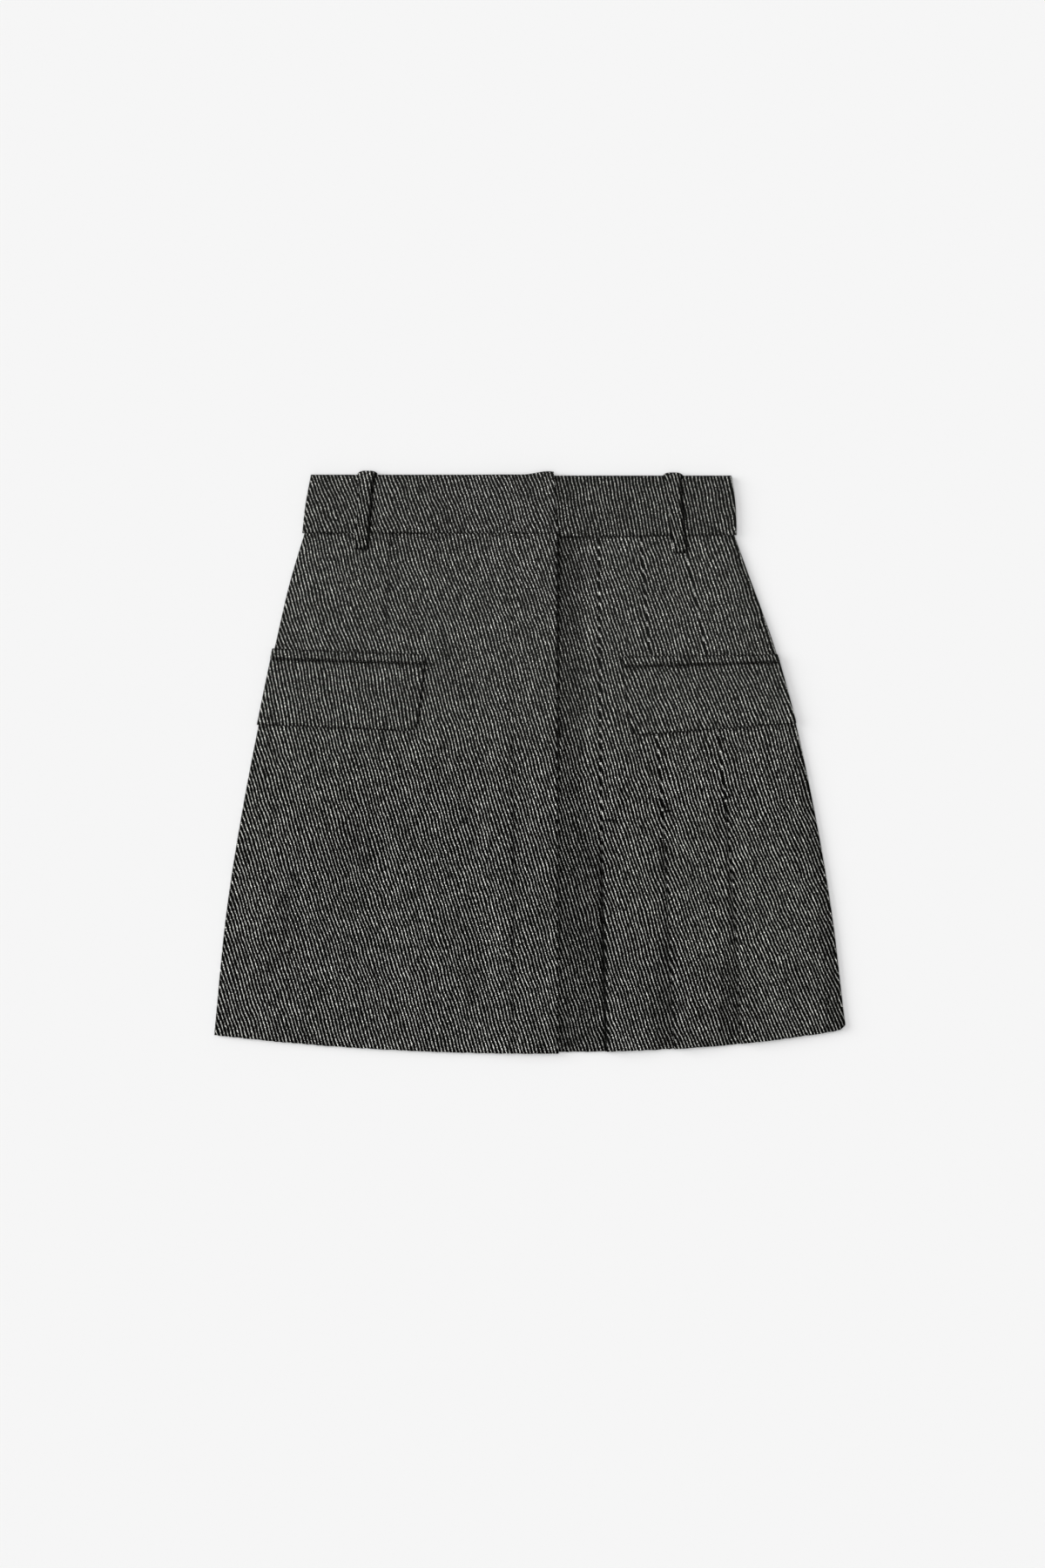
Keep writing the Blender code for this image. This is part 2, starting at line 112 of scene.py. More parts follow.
# ---- Back panel ----
# The whole back in one layer of heavy wool twill, lying flat on the table. Its two sides turn up
# round the side folds, where the fronts' sides meet them edge to edge.
CLOTH = 0.0012
GAP = 0.0003
LAYER = CLOTH + GAP
BASE_AIR = 0.0001
CLOTH_RIM = 0.0004
BACK_LEVEL = CLOTH / 2
BASE_LEVEL = BACK_LEVEL + LAYER + BASE_AIR
MID_LEVEL = BASE_LEVEL + LAYER
TOP_LEVEL = MID_LEVEL + LAYER
SIDE_BEND = 0.0014
SIDE_LEVEL = BACK_LEVEL + 2 * SIDE_BEND
SEAM_STUB = 0.00025
SIDE_RADIUS = SIDE_BEND - GAP / 2 - SEAM_STUB
RIGHT_SEAM = 0.1844
LEFT_SEAM = 0.1830
SEAM_TURNS = 0.030
RIGHT_RISE = 0.0150
RIGHT_POWER = 2.0
LEFT_HEM = -0.2326
LEFT_RISE = 0.0185
LEFT_POWER = 2.5
BACK_HEM_SHORT = 0.0012
HEM_CORNER = 0.0060
CORNER_FADE = 8
BEND_STEPS = 6
BACK_STEPS = (76, 66)
EDGE_SEGMENTS = 2
EDGE_ANGLE = 60
EDGE_SOFTNESS = 0.8
SKIRT_ROWS = 120
RAGGED_HEM = 0.00028
RAGGED_GRAIN = (450, 1.7)
HEM_SHADE = 0.35
Drift = namedtuple("Drift", "x y reach slope")
DRIFTS = (
    Drift(-0.110, 0.125, 0.055, 0.085),
    Drift(-0.020, 0.140, 0.050, 0.070),
    Drift(-0.185, 0.150, 0.045, -0.100),
    Drift(0.110, 0.140, 0.050, 0.045),
    Drift(-0.150, -0.130, 0.070, 0.030),
    Drift(0.090, -0.150, 0.060, -0.040),
)
SKIRT_LENGTH = 0.417
CLOSE_ROWS = (0.0005, 0.0011, 0.0019, 0.0032)
HOLLOW_STARTS = 0.00015
HOLLOW_DEPTH = 0.0009
HOLLOW_SHADE = 0.40
SEAM_WIDTH = 0.0011
SEAM_SINK = 0.0006
SEAM_DARK = 0.72
SEAM_UNEVEN = 0.55
SEAM_LEAST = 0.3
SEAM_SWAY = (0.016, 11.5)
SEAM_FADES = 0.0100
Line = namedtuple("Line", "depth width")
SEAM_FADE = Line(0.75, 0.009)
SIDE_DARK = Line(0.45, 0.0012)
BACK_CALM = (0.02, 0.1)
MARK_ROWS = (-0.0022, -0.0011, 0.0, 0.0011, 0.0022)
Side = namedtuple("Side", "down left right")
SIDES = (
    Side(0.00, -0.1812, 0.1644),
    Side(0.08, -0.1910, 0.1758),
    Side(0.22, -0.2044, 0.1958),
    Side(0.36, -0.2162, 0.2116),
    Side(0.54, -0.2302, 0.2273),
    Side(0.75, -0.2436, 0.2419),
    Side(1.00, -0.25375, 0.25375),
)
CREASE_BOW = 0.25
CREASE_TURNS = 6.0
CREASE_SEED = 40
CREASE_ENDS = 0.35
Crease = namedtuple("Crease", "x0 y0 x1 y1 width height")
BACK_CREASES = (
    Crease(-0.050, 0.150, -0.075, -0.020, 0.016, 0.0007),
    Crease(0.068, 0.140, 0.092, -0.060, 0.018, 0.0006),
    Crease(-0.140, 0.060, -0.175, -0.150, 0.020, 0.0006),
    Crease(0.010, 0.020, 0.022, -0.200, 0.014, 0.0005),
    Crease(0.150, 0.010, 0.185, -0.160, 0.018, 0.0006),
)
TWILL_ANGLE = 17.5
TWILL_PITCH = 0.00272
YARN_LENGTH = 0.0058
BEAD_LENGTH = 0.0012
YARN_SEED = 5.31
BEAD_SEED = 9.77
RIDGE_HALF = 0.10
RIDGE_SPREAD = 0.12
YARN_RISE = 0.4
SLOW_GRAIN = (40.0, 1.0)
QUICK_GRAIN = (420.0, 2.0)
FIBRE_GRAIN = (2100.0, 1.0)
GROUND_GRAIN = (1500.0, 1.0)
PATCH_GRAIN = (24.0, 3.0)
SLOW_WOBBLE = 1.3
QUICK_WOBBLE = 0.5
Step = namedtuple("Step", "start end low high")
YARN_STEP = Step(0.28, 0.62, 0.76, 1.0)
BEAD_STEP = Step(0.30, 0.60, 0.70, 1.04)
RIDGE_STEP = Step(-0.12, 0.10, 1.0, 0.0)
FIBRE_STEP = Step(0.34, 0.66, 0.10, 1.90)
GROUND_STEP = Step(0.44, 0.76, 0.0, 0.20)
PATCH_STEP = Step(0.25, 0.75, 0.96, 1.04)
EVEN_STEP = Step(-0.03, 0.09, 0.0, 0.14)
TONE_POWER = 2.5
MEAN_TONE = 0.12
# How far the painted shade attribute darkens the cloth at most.
SHADE_DEPTH = 0.94
WOOL_DARK = (0.0006, 0.0007, 0.0005, 1.0)
WOOL_PALE = (0.400, 0.401, 0.379, 1.0)
BUMP = {"Strength": 0.55, "Distance": 0.0006}
WOOL_FINISH = {
    "Roughness": 0.94,
    "Specular IOR Level": 0.01,
    "Sheen Weight": 0.02,
    "Sheen Roughness": 0.6,
}


def mix(start, end, share):
    return start + (end - start) * share


def ease(share):
    share = min(max(share, 0.0), 1.0)
    return share * share * (3 - 2 * share)


def follow(stations, values, at):
    """The value at one place on a smooth curve through a table's column."""
    slopes = np.gradient(values, stations)
    i = min(max(int(np.searchsorted(stations, at)) - 1, 0), len(stations) - 2)
    span = stations[i + 1] - stations[i]
    s = (at - stations[i]) / span
    start = (1 + 2 * s) * (1 - s) ** 2 * values[i] + s * (1 - s) ** 2 * span * slopes[i]
    end = s * s * (3 - 2 * s) * values[i + 1] + s * s * (s - 1) * span * slopes[i + 1]
    return float(start + end)


@lru_cache(maxsize=None)
def side_x(which, down):
    return follow([s.down for s in SIDES], [getattr(s, which) for s in SIDES], down)


def across(x, down):
    return x / (side_x("right", down) if x > 0 else -side_x("left", down))


def back_seam_y(x):
    fall = max((x - SEAM_TURNS) / (SIDES[0].right - SEAM_TURNS), 0.0)
    return mix(RIGHT_SEAM + GAP, LEFT_SEAM, fall)


def corner_lift(x):
    """The rounded corner where the hem meets the left side."""
    inward = max(HEM_CORNER - (SIDES[-1].right - x), 0.0)
    return HEM_CORNER - sqrt(max(HEM_CORNER**2 - inward**2, 0.0))


def back_y(x, down):
    share = abs(across(x, down))
    right_half = RIGHT_RISE * share**RIGHT_POWER
    left_half = LEFT_RISE * share**LEFT_POWER + corner_lift(x) * down**CORNER_FADE
    hem = LEFT_HEM + BACK_HEM_SHORT + (left_half if x > 0 else right_half)
    return mix(back_seam_y(x) - GAP / 2, hem, down)


def creased(creases, x, y):
    """The height that a table of soft creases adds at one place."""
    height = 0.0
    for crease in creases:
        run_x = crease.x1 - crease.x0
        run_y = crease.y1 - crease.y0
        length = hypot(run_x, run_y)
        along = ((x - crease.x0) * run_x + (y - crease.y0) * run_y) / length**2
        if 0.0 < along < 1.0:
            aside = ((x - crease.x0) * run_y - (y - crease.y0) * run_x) / length
            bow = sin(CREASE_TURNS * along + CREASE_SEED * crease.x0)
            aside += CREASE_BOW * crease.width * bow
            ends = ease(along / CREASE_ENDS) * ease((1 - along) / CREASE_ENDS)
            height += crease.height * ends * exp(-((aside / crease.width) ** 2))
    return height


def sway(x, y, size, seed):
    """A smooth unevenness from -1 to 1, with swells of about that size."""
    return noise.noise(Vector((x / size, y / size, seed)))


def grain_drift(x, y):
    """How far the weave's ridges have shifted across the skirt at one place."""
    shift = 0.0
    for drift in DRIFTS:
        away = ((x - drift.x) ** 2 + (y - drift.y) ** 2) / drift.reach**2
        shift += drift.slope * (y - drift.y) * exp(-away)
    return shift


def bend(x, z, radius, start, end):
    """A round fold from one angle to another, in degrees, without its first point."""
    angles = [radians(mix(start, end, i / BEND_STEPS)) for i in range(1, BEND_STEPS + 1)]
    return [(x + radius * cos(a), z + radius * sin(a)) for a in angles]


def run(start, end, steps, level):
    """An even run from one X to another without its first point. Its level is a height, or a
    function that gives one for X."""
    places = [mix(start, end, i / steps) for i in range(1, steps + 1)]
    return [(x, level(x) if callable(level) else level) for x in places]


def leaving(start, end, steps, level):
    """The same with its first steps close together."""
    places = [start + distance for distance in CLOSE_ROWS]
    return [(x, level(x)) for x in places] + run(places[-1], end, steps, level)


def closing(start, end, steps, level):
    """The same with its last steps close together."""
    places = [end - distance for distance in CLOSE_ROWS[::-1]]
    return run(start, places[0], steps, level) + [(x, level(x)) for x in places[1:] + [end]]


def half_fold(outer, inward, thickness, level, half_height):
    """Half of the fold round a side, from its seam at mid height to the flat cloth at level."""
    up = 1 if half_height > 0 else -1
    radius = abs(half_height) - GAP / 2 - SEAM_STUB
    wall = outer + inward * thickness / 2
    seam = level - half_height + up * GAP / 2
    path = [(wall, seam)]
    for i in range(BEND_STEPS + 1):
        angle = radians(90 * i / BEND_STEPS)
        x = wall + inward * radius * (1 - cos(angle))
        path.append((x, seam + up * (SEAM_STUB + radius * sin(angle))))
    return path


def side_fold(which, level, down):
    inward = 1 if which == "left" else -1
    half_height = SIDE_BEND if level > BACK_LEVEL else -SIDE_BEND
    return half_fold(side_x(which, down), inward, CLOTH, level, half_height)


Panel = namedtuple("Panel", "first anchor shift lean free_y", defaults=(0.0, 0.0, 0.0))


def flat_pattern(path, heights, panels):
    """Each point's place on the flat cloth, in metres. A panel starts at its first point and
    is measured from its anchor, which it shifts. Below free_y its grain leans, in degrees."""
    arc = [0.0]
    for (x0, z0), (x1, z1) in zip(path, path[1:]):
        arc.append(arc[-1] + hypot(x1 - x0, z1 - z0))
    flat = []
    for i in range(len(path)):
        panel = [panel for panel in panels if panel.first <= i][-1]
        leaning = tan(radians(panel.lean)) * min(heights[i] - panel.free_y, 0.0)
        start = path[panel.anchor][0] + panel.shift
        flat.append((start + arc[i] - arc[panel.anchor] + leaning, heights[i]))
    return flat


def add_node(tree, kind, inputs, **settings):
    node = tree.nodes.new(kind)
    for name, value in settings.items():
        setattr(node, name, value)
    for name, value in inputs.items():
        if isinstance(value, bpy.types.NodeSocket):
            tree.links.new(value, node.inputs[name])
        else:
            node.inputs[name].default_value = value
    return node


def calc(tree, operation, first, second=0.0, third=0.0):
    values = {0: first, 1: second, 2: third}
    if operation in ("FLOOR", "ABSOLUTE", "SINE"):
        values = {0: first}
    return add_node(tree, "ShaderNodeMath", values, operation=operation).outputs[0]


def soft_step(tree, value, step):
    """Eases from the step's low to its high as value goes from its start to its end."""
    ends = {"From Min": step.start, "From Max": step.end, "To Min": step.low, "To Max": step.high}
    inputs = {"Value": value, **ends}
    node = add_node(tree, "ShaderNodeMapRange", inputs, interpolation_type="SMOOTHSTEP")
    return node.outputs["Result"]


def fine_noise(tree, vector, scale, detail):
    inputs = {"Vector": vector, "Scale": scale, "Detail": detail, "Roughness": 0.6}
    return add_node(tree, "ShaderNodeTexNoise", inputs).outputs["Fac"]


def along_ridge(tree, ridge, place, seed, length):
    """A smooth random value that runs along each ridge and differs from ridge to ridge."""
    lane = calc(tree, "MULTIPLY", ridge, seed)
    place = calc(tree, "MULTIPLY", place, 1 / length)
    spot = add_node(tree, "ShaderNodeCombineXYZ", {"X": lane, "Y": place}).outputs[0]
    inputs = {"Vector": spot, "Scale": 1.0, "Detail": 1.0, "Roughness": 0.5}
    return add_node(tree, "ShaderNodeTexNoise", inputs, noise_dimensions="2D").outputs["Fac"]


def make_twill():
    """Raised twill ridges of thick, broken, pale yarn over a dark ground."""
    tree = bpy.data.node_groups.new("twill_weave", "ShaderNodeTree")
    tree.interface.new_socket("Cloth", in_out="INPUT", socket_type="NodeSocketVector")
    tree.interface.new_socket("Tone", in_out="OUTPUT", socket_type="NodeSocketFloat")
    tree.interface.new_socket("Height", in_out="OUTPUT", socket_type="NodeSocketFloat")
    cloth = tree.nodes.new("NodeGroupInput").outputs["Cloth"]
    out = tree.nodes.new("NodeGroupOutput")
    angle = radians(TWILL_ANGLE)
    turned = add_node(
        tree, "ShaderNodeMapping", {"Vector": cloth, "Rotation": (0.0, 0.0, -angle)}
    ).outputs[0]
    parts = add_node(tree, "ShaderNodeSeparateXYZ", {0: turned})
    slow = fine_noise(tree, cloth, *SLOW_GRAIN)
    slow = calc(tree, "MULTIPLY_ADD", slow, SLOW_WOBBLE, -SLOW_WOBBLE / 2)
    quick = fine_noise(tree, cloth, *QUICK_GRAIN)
    quick = calc(tree, "MULTIPLY_ADD", quick, QUICK_WOBBLE, -QUICK_WOBBLE / 2)
    wobble = calc(tree, "ADD", slow, quick)
    ridge_place = calc(tree, "MULTIPLY_ADD", parts.outputs["X"], 1 / TWILL_PITCH, wobble)
    ridge = calc(tree, "FLOOR", ridge_place)
    aside = calc(tree, "SUBTRACT", calc(tree, "SUBTRACT", ridge_place, ridge), 0.5)
    aside = calc(tree, "ABSOLUTE", aside)
    yarn = along_ridge(tree, ridge, parts.outputs["Y"], YARN_SEED, YARN_LENGTH)
    bead = along_ridge(tree, ridge, parts.outputs["Y"], BEAD_SEED, BEAD_LENGTH)
    level = soft_step(tree, yarn, YARN_STEP)
    beads = soft_step(tree, bead, BEAD_STEP)
    half_width = calc(tree, "MULTIPLY_ADD", bead, RIDGE_SPREAD, RIDGE_HALF)
    ridge_top = soft_step(tree, calc(tree, "SUBTRACT", aside, half_width), RIDGE_STEP)
    fibre = soft_step(tree, fine_noise(tree, cloth, *FIBRE_GRAIN), FIBRE_STEP)
    body = calc(tree, "MULTIPLY", ridge_top, beads)
    ground = soft_step(tree, fine_noise(tree, cloth, *GROUND_GRAIN), GROUND_STEP)
    lit = calc(tree, "MULTIPLY", calc(tree, "MULTIPLY", body, level), fibre)
    patchy = soft_step(tree, fine_noise(tree, cloth, *PATCH_GRAIN), PATCH_STEP)
    tone = calc(tree, "MULTIPLY", calc(tree, "MAXIMUM", lit, ground), patchy)
    rise = calc(tree, "MULTIPLY_ADD", level, YARN_RISE, 1 - YARN_RISE)
    height = calc(tree, "MULTIPLY", body, rise)
    tree.links.new(tone, out.inputs["Tone"])
    tree.links.new(height, out.inputs["Height"])
    return tree


twill_weave = make_twill()


def wool(name, turn=0.0, shade=1.0):
    """Wool twill whose grain is turned by some degrees on its piece. Towards the waist, pressing
    has evened out its light and dark yarns a little. shade darkens the whole piece evenly as
    painted shade, and the shade attribute adds painted shade in seams, under folds and at edges."""
    cloth = bpy.data.materials.new(name)
    cloth.use_nodes = True
    tree = cloth.node_tree
    shader = tree.nodes["Principled BSDF"]
    place = add_node(tree, "ShaderNodeUVMap", {}, uv_map="cloth").outputs["UV"]
    height = add_node(tree, "ShaderNodeSeparateXYZ", {0: place}).outputs["Y"]
    even = soft_step(tree, height, EVEN_STEP)
    turned = {"Vector": place, "Rotation": (0.0, 0.0, radians(turn))}
    place = add_node(tree, "ShaderNodeMapping", turned).outputs[0]
    weave = add_node(tree, "ShaderNodeGroup", {}, node_tree=twill_weave)
    tree.links.new(place, weave.inputs["Cloth"])
    depth = calc(tree, "POWER", weave.outputs["Tone"], TONE_POWER)
    depth = calc(tree, "MULTIPLY_ADD", calc(tree, "SUBTRACT", MEAN_TONE, depth), even, depth)
    # Painted shade: the shade attribute and the shade factor darken the colour below.
    painted_shade = add_node(tree, "ShaderNodeAttribute", {}, attribute_name="shade").outputs["Fac"]
    lit = calc(tree, "MULTIPLY_ADD", painted_shade, -SHADE_DEPTH, 1.0)
    depth = calc(tree, "MULTIPLY", calc(tree, "MULTIPLY", depth, shade), lit)
    tint = add_node(tree, "ShaderNodeMix", {}, data_type="RGBA", clamp_factor=False)
    tree.links.new(depth, tint.inputs[0])
    tint.inputs[6].default_value = WOOL_DARK
    tint.inputs[7].default_value = WOOL_PALE
    tree.links.new(tint.outputs[2], shader.inputs["Base Color"])
    bump = add_node(tree, "ShaderNodeBump", BUMP)
    tree.links.new(weave.outputs["Height"], bump.inputs["Height"])
    tree.links.new(bump.outputs["Normal"], shader.inputs["Normal"])
    for socket, value in WOOL_FINISH.items():
        shader.inputs[socket].default_value = value
    return cloth


def cloth_sheet(name, rows, thickness, material, rim):
    """A sheet through rows of (x, y, z, u, v, shade): u and v are its place on the flat cloth,
    and shade is how much painted shade darkens it in a seam, under a fold or at an edge, from 0 to 1."""
    columns = len(rows[0]) - 1
    grid = bmesh.new()
    bmesh.ops.create_grid(grid, x_segments=columns, y_segments=len(rows) - 1, size=1.0)
    flat = grid.loops.layers.uv.new("cloth")
    shade = grid.verts.layers.float.new("shade")
    spots = {}
    for vertex in grid.verts:
        column = round((vertex.co.x + 1) / 2 * columns)
        row = round((vertex.co.y + 1) / 2 * (len(rows) - 1))
        spots[vertex] = rows[row][column]
        vertex.co = spots[vertex][:3]
        vertex[shade] = spots[vertex][5]
    for face in grid.faces:
        for corner in face.loops:
            corner[flat].uv = spots[corner.vert][3:5]
    mesh = bpy.data.meshes.new(name)
    grid.to_mesh(mesh)
    grid.free()
    mesh.shade_smooth()
    mesh.materials.append(material)
    piece = bpy.data.objects.new(name, mesh)
    add_to_scene(piece)
    wall = piece.modifiers.new("wall", "SOLIDIFY")
    wall.thickness = thickness
    wall.offset = 0.0
    wall.use_even_offset = True
    wall.use_quality_normals = True
    edge = piece.modifiers.new("edge", "BEVEL")
    edge.width = rim
    edge.segments = EDGE_SEGMENTS
    edge.limit_method = "ANGLE"
    edge.angle_limit = radians(EDGE_ANGLE)
    return piece


def stations(steps, length):
    """Shares from 0 to 1, close together at both ends, for a sheet of that length."""
    near = [distance / length for distance in CLOSE_ROWS]
    even = [mix(near[-1], 1 - near[-1], i / steps) for i in range(1, steps)]
    return [0.0] + near + even + [1 - share for share in near[::-1]] + [1.0]


def near(distance, width):
    """1 on a line, falling softly to 0 within about twice that width."""
    return exp(-((distance / width) ** 2))


def line(distance, kind):
    return kind.depth * near(distance, kind.width)


def stepped(value, step):
    """Eases from the step's low to its high as value goes from its start to its end."""
    return mix(step.low, step.high, ease((value - step.start) / (step.end - step.start)))


def seam_shade(x):
    """The waist seam's line of painted shade is uneven, and fades where the band's end lies over it.
    """
    dark = min(max(SEAM_DARK + SEAM_UNEVEN * sway(x, 0.0, *SEAM_SWAY), SEAM_LEAST), 1.0)
    return dark * (1 - line(x - SEAM_FADES, SEAM_FADE))


def edge_line(distance, width):
    """1 within a width of an edge, easing to 0 soon after it."""
    return ease(((1 + EDGE_SOFTNESS) * width - distance) / (EDGE_SOFTNESS * width))


def skirt_rows(section, height, relief, shade, marks):
    """Rows of a skirt panel from the hem up to the waist seam, close together at its marks."""
    rows = []
    shares = stations(SKIRT_ROWS, SKIRT_LENGTH)
    for mark in marks:
        shares += [mark.down + step / SKIRT_LENGTH for step in MARK_ROWS]
    for down in sorted(shares):
        path, panels = section(down)
        heights = [height(x, down) for x, z in path]
        flat = flat_pattern(path, heights, panels)
        seam = near(down * SKIRT_LENGTH, SEAM_WIDTH)
        hem = near((1 - down) * SKIRT_LENGTH, SEAM_WIDTH)
        points = []
        for i, (x, z) in enumerate(path):
            thread = Vector((x * RAGGED_GRAIN[0], i * RAGGED_GRAIN[1], 0.0))
            y = heights[i] + hem * RAGGED_HEM * noise.cell(thread)
            rise = relief(x, y, down)
            # Painted shade in the creases' hollows, the waist seam, the hem's rounded edge and the
            # panel's own lines.
            hollow = min(max(-rise - HOLLOW_STARTS, 0.0) / HOLLOW_DEPTH, 1.0) * HOLLOW_SHADE
            dark = max(seam * seam_shade(x), HEM_SHADE * hem, shade(x, z, down), hollow)
            z += rise - SEAM_SINK * seam * (z > SIDE_LEVEL)
            points.append((x, y, z, flat[i][0] + grain_drift(x, y), flat[i][1], dark))
        rows.append(points)
    return rows[::-1]


def skirt_panel(name, twill_name, *parts, marks=()):
    rows = skirt_rows(*parts, marks)
    return cloth_sheet(name + "_cloth", rows, CLOTH, wool(twill_name), CLOTH_RIM)


def back_section(down):
    left = side_fold("left", BACK_LEVEL, down)
    right = side_fold("right", BACK_LEVEL, down)[::-1]
    path = left + run(left[-1][0], SEAM_TURNS, BACK_STEPS[0], BACK_LEVEL)
    anchor = len(path) - 1
    path += run(SEAM_TURNS, right[0][0], BACK_STEPS[1], BACK_LEVEL)
    return path + right[1:], [Panel(0, anchor)]


def back_relief(x, y, down):
    """The back rests on the table, and its creases only rise into the air inside the skirt."""
    inside = min(x - side_x("left", down), side_x("right", down) - x)
    calm = ease(inside / BACK_CALM[0]) * ease(down / BACK_CALM[1])
    return max(creased(BACK_CREASES, x, y), 0.0) * calm


def side_shade(x, z, down):
    """Painted shade makes the side folds a little darker where the front and back meet."""
    aside = min(x - side_x("left", down), side_x("right", down) - x)
    return line(aside, SIDE_DARK)


back_panel = skirt_panel(
    "back_panel", "back_twill", back_section, back_y, back_relief, side_shade
)
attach(back_panel, "root")
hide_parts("back_panel")


# ---- Right front ----
# The wearer's right front in one layer, from the side fold to the front edge, where it turns back
# under itself as a facing. A line of stitches holds the facing, and a dart shapes the waist.
RIGHT_HEM = -0.2338
EDGE_WAIST = 0.0220
EDGE_HEM = 0.0231
FACING = 0.038
FACING_CLEAR = 0.002
LAP_SLOPE = 0.026
CROWN = 0.0010
WAIST_LIFT = 0.0009
WAIST_LIFT_ENDS = 0.14
STITCH_X = -0.0132
STITCH_REACH = 0.0024
STITCH_SINK = Line(0.00070, 0.0010)
STITCH_SWAY = (0.05, 4.5)
STITCH_DARK_WIDTH = 0.0013
STITCH_DARK_SWAY = (0.035, 4.5)
STITCH_BREAKS = 1.6
STITCH_BROKEN = (0.50, 0.90)
STITCH_DARKENS = Step(0.10, 0.60, 0.25, 1.0)
DART_WAIST = -0.1113
DART_LEAN = -0.0249
DART_REACH = 0.003
DART_ENDS = 0.20
DART_FADE = 0.04
DART_SINK = Line(0.00050, 0.0009)
DART_DARK = Line(0.70, 0.0011)
EDGE_DARK = Step(0.35, 0.65, 0.90, 0.45)
EDGE_DARK_WIDTH = 0.0011
FRONT_CALM = (0.018, 0.05)
SLOW_SWAY = (0.045, 2.5)
SLOW_SWELL = 0.00026
QUICK_SWAY = (0.017, 7.5)
QUICK_SWELL = 0.00014
CREASING = 0.8
RightSteps = namedtuple("RightSteps", "side dart middle slope stitch edge facing")
RIGHT_STEPS = RightSteps(40, 8, 24, 12, 8, 10, 12)
FRONT_CREASES = (
    Crease(-0.066, 0.115, -0.058, 0.040, 0.007, -0.0009),
    Crease(-0.080, 0.105, -0.072, 0.000, 0.014, 0.0006),
    Crease(-0.060, 0.050, -0.052, -0.060, 0.012, 0.0006),
    Crease(-0.150, 0.140, -0.110, 0.095, 0.013, 0.0006),
    Crease(-0.175, 0.020, -0.200, -0.120, 0.014, 0.0007),
    Crease(-0.130, 0.010, -0.150, -0.170, 0.016, -0.0006),
    Crease(-0.095, -0.020, -0.100, -0.200, 0.015, 0.0006),
    Crease(-0.185, -0.060, -0.215, -0.200, 0.013, -0.0007),
    Crease(-0.050, -0.080, -0.045, -0.220, 0.012, -0.0005),
    Crease(-0.030, 0.170, -0.050, 0.100, 0.012, 0.0005),
    Crease(0.041, 0.215, 0.039, -0.010, 0.010, -0.0008),
    Crease(0.047, -0.015, 0.052, -0.095, 0.007, -0.0009),
    Crease(0.125, 0.165, 0.150, 0.110, 0.014, 0.0007),
    Crease(0.185, 0.010, 0.200, -0.090, 0.014, 0.0006),
    Crease(0.215, -0.110, 0.190, -0.200, 0.014, 0.0007),
    Crease(0.190, -0.140, 0.225, -0.150, 0.009, -0.0007),
    Crease(0.088, 0.015, 0.096, -0.060, 0.010, 0.0005),
    Crease(0.135, -0.035, 0.138, -0.110, 0.010, -0.0005),
)


def edge_x(down):
    return mix(EDGE_WAIST, EDGE_HEM, down)


def right_y(x, down):
    hem = RIGHT_HEM + RIGHT_RISE * abs(across(x, down)) ** RIGHT_POWER
    return mix(RIGHT_SEAM - GAP / 2, hem, down)


def waist_lift(down):
    return WAIST_LIFT * (1 - ease(down / WAIST_LIFT_ENDS))


def crown(share, down):
    """The air that a single layer holds under it."""
    share = min(max(share, 0.0), 1.0)
    return CROWN * sin(pi * share) * sin(pi * min(down, 1.0))


def front_relief(x, y, down):
    """The fronts' creases and unevenness, shared by every layer so that none cuts another."""
    inside = min(x - side_x("left", down), side_x("right", down) - x)
    fade = ease(inside / FRONT_CALM[0]) * ease(down / FRONT_CALM[1])
    soft = SLOW_SWELL * sway(x, y, *SLOW_SWAY) + QUICK_SWELL * sway(x, y, *QUICK_SWAY)
    return fade * (soft + CREASING * creased(FRONT_CREASES, x, y))


def dart_x(down):
    return DART_WAIST + DART_LEAN * down


def right_level(x, down):
    """The right front's height from its side to its front edge, over the facing."""
    start = side_x("left", down) + SIDE_RADIUS + CLOTH / 2
    slope_to = edge_x(down) - FACING - FACING_CLEAR
    slope_from = slope_to - LAP_SLOPE
    level = SIDE_LEVEL + crown((x - start) / (slope_from - start), down)
    lap = ease((x - slope_from) / LAP_SLOPE)
    return mix(level, TOP_LEVEL, lap) + waist_lift(down)


def stitched_level(x, down):
    """The same with the dart and the line of stitches sunk into it."""
    dart = line(x - dart_x(down), DART_SINK) * ease((DART_ENDS - down) / DART_FADE)
    uneven = 0.75 + 0.5 * sway(0.0, down, *STITCH_SWAY)
    return right_level(x, down) - dart - line(x - STITCH_X, STITCH_SINK) * uneven


def right_section(down):
    edge = edge_x(down)
    slope_from = edge - FACING - FACING_CLEAR - LAP_SLOPE
    lift = waist_lift(down)
    turn = LAYER / 2
    turn_x = edge - turn - CLOTH / 2
    dart = dart_x(down)
    steps = RIGHT_STEPS

    def level(x):
        return stitched_level(x, down)

    path = side_fold("left", SIDE_LEVEL, down)
    path += run(path[-1][0], dart - DART_REACH, steps.side, level)
    path += run(dart - DART_REACH, dart + DART_REACH, steps.dart, level)
    path += run(dart + DART_REACH, slope_from, steps.middle, level)
    path += run(slope_from, STITCH_X - STITCH_REACH, steps.slope, level)
    path += run(STITCH_X - STITCH_REACH, STITCH_X + STITCH_REACH, steps.stitch, level)
    path += closing(STITCH_X + STITCH_REACH, turn_x, steps.edge, level)
    anchor = len(path) - 1
    path += bend(turn_x, TOP_LEVEL - turn + lift, turn, 90, -90)
    path += run(turn_x, edge - FACING, steps.facing, MID_LEVEL + lift)
    return path, [Panel(0, anchor)]


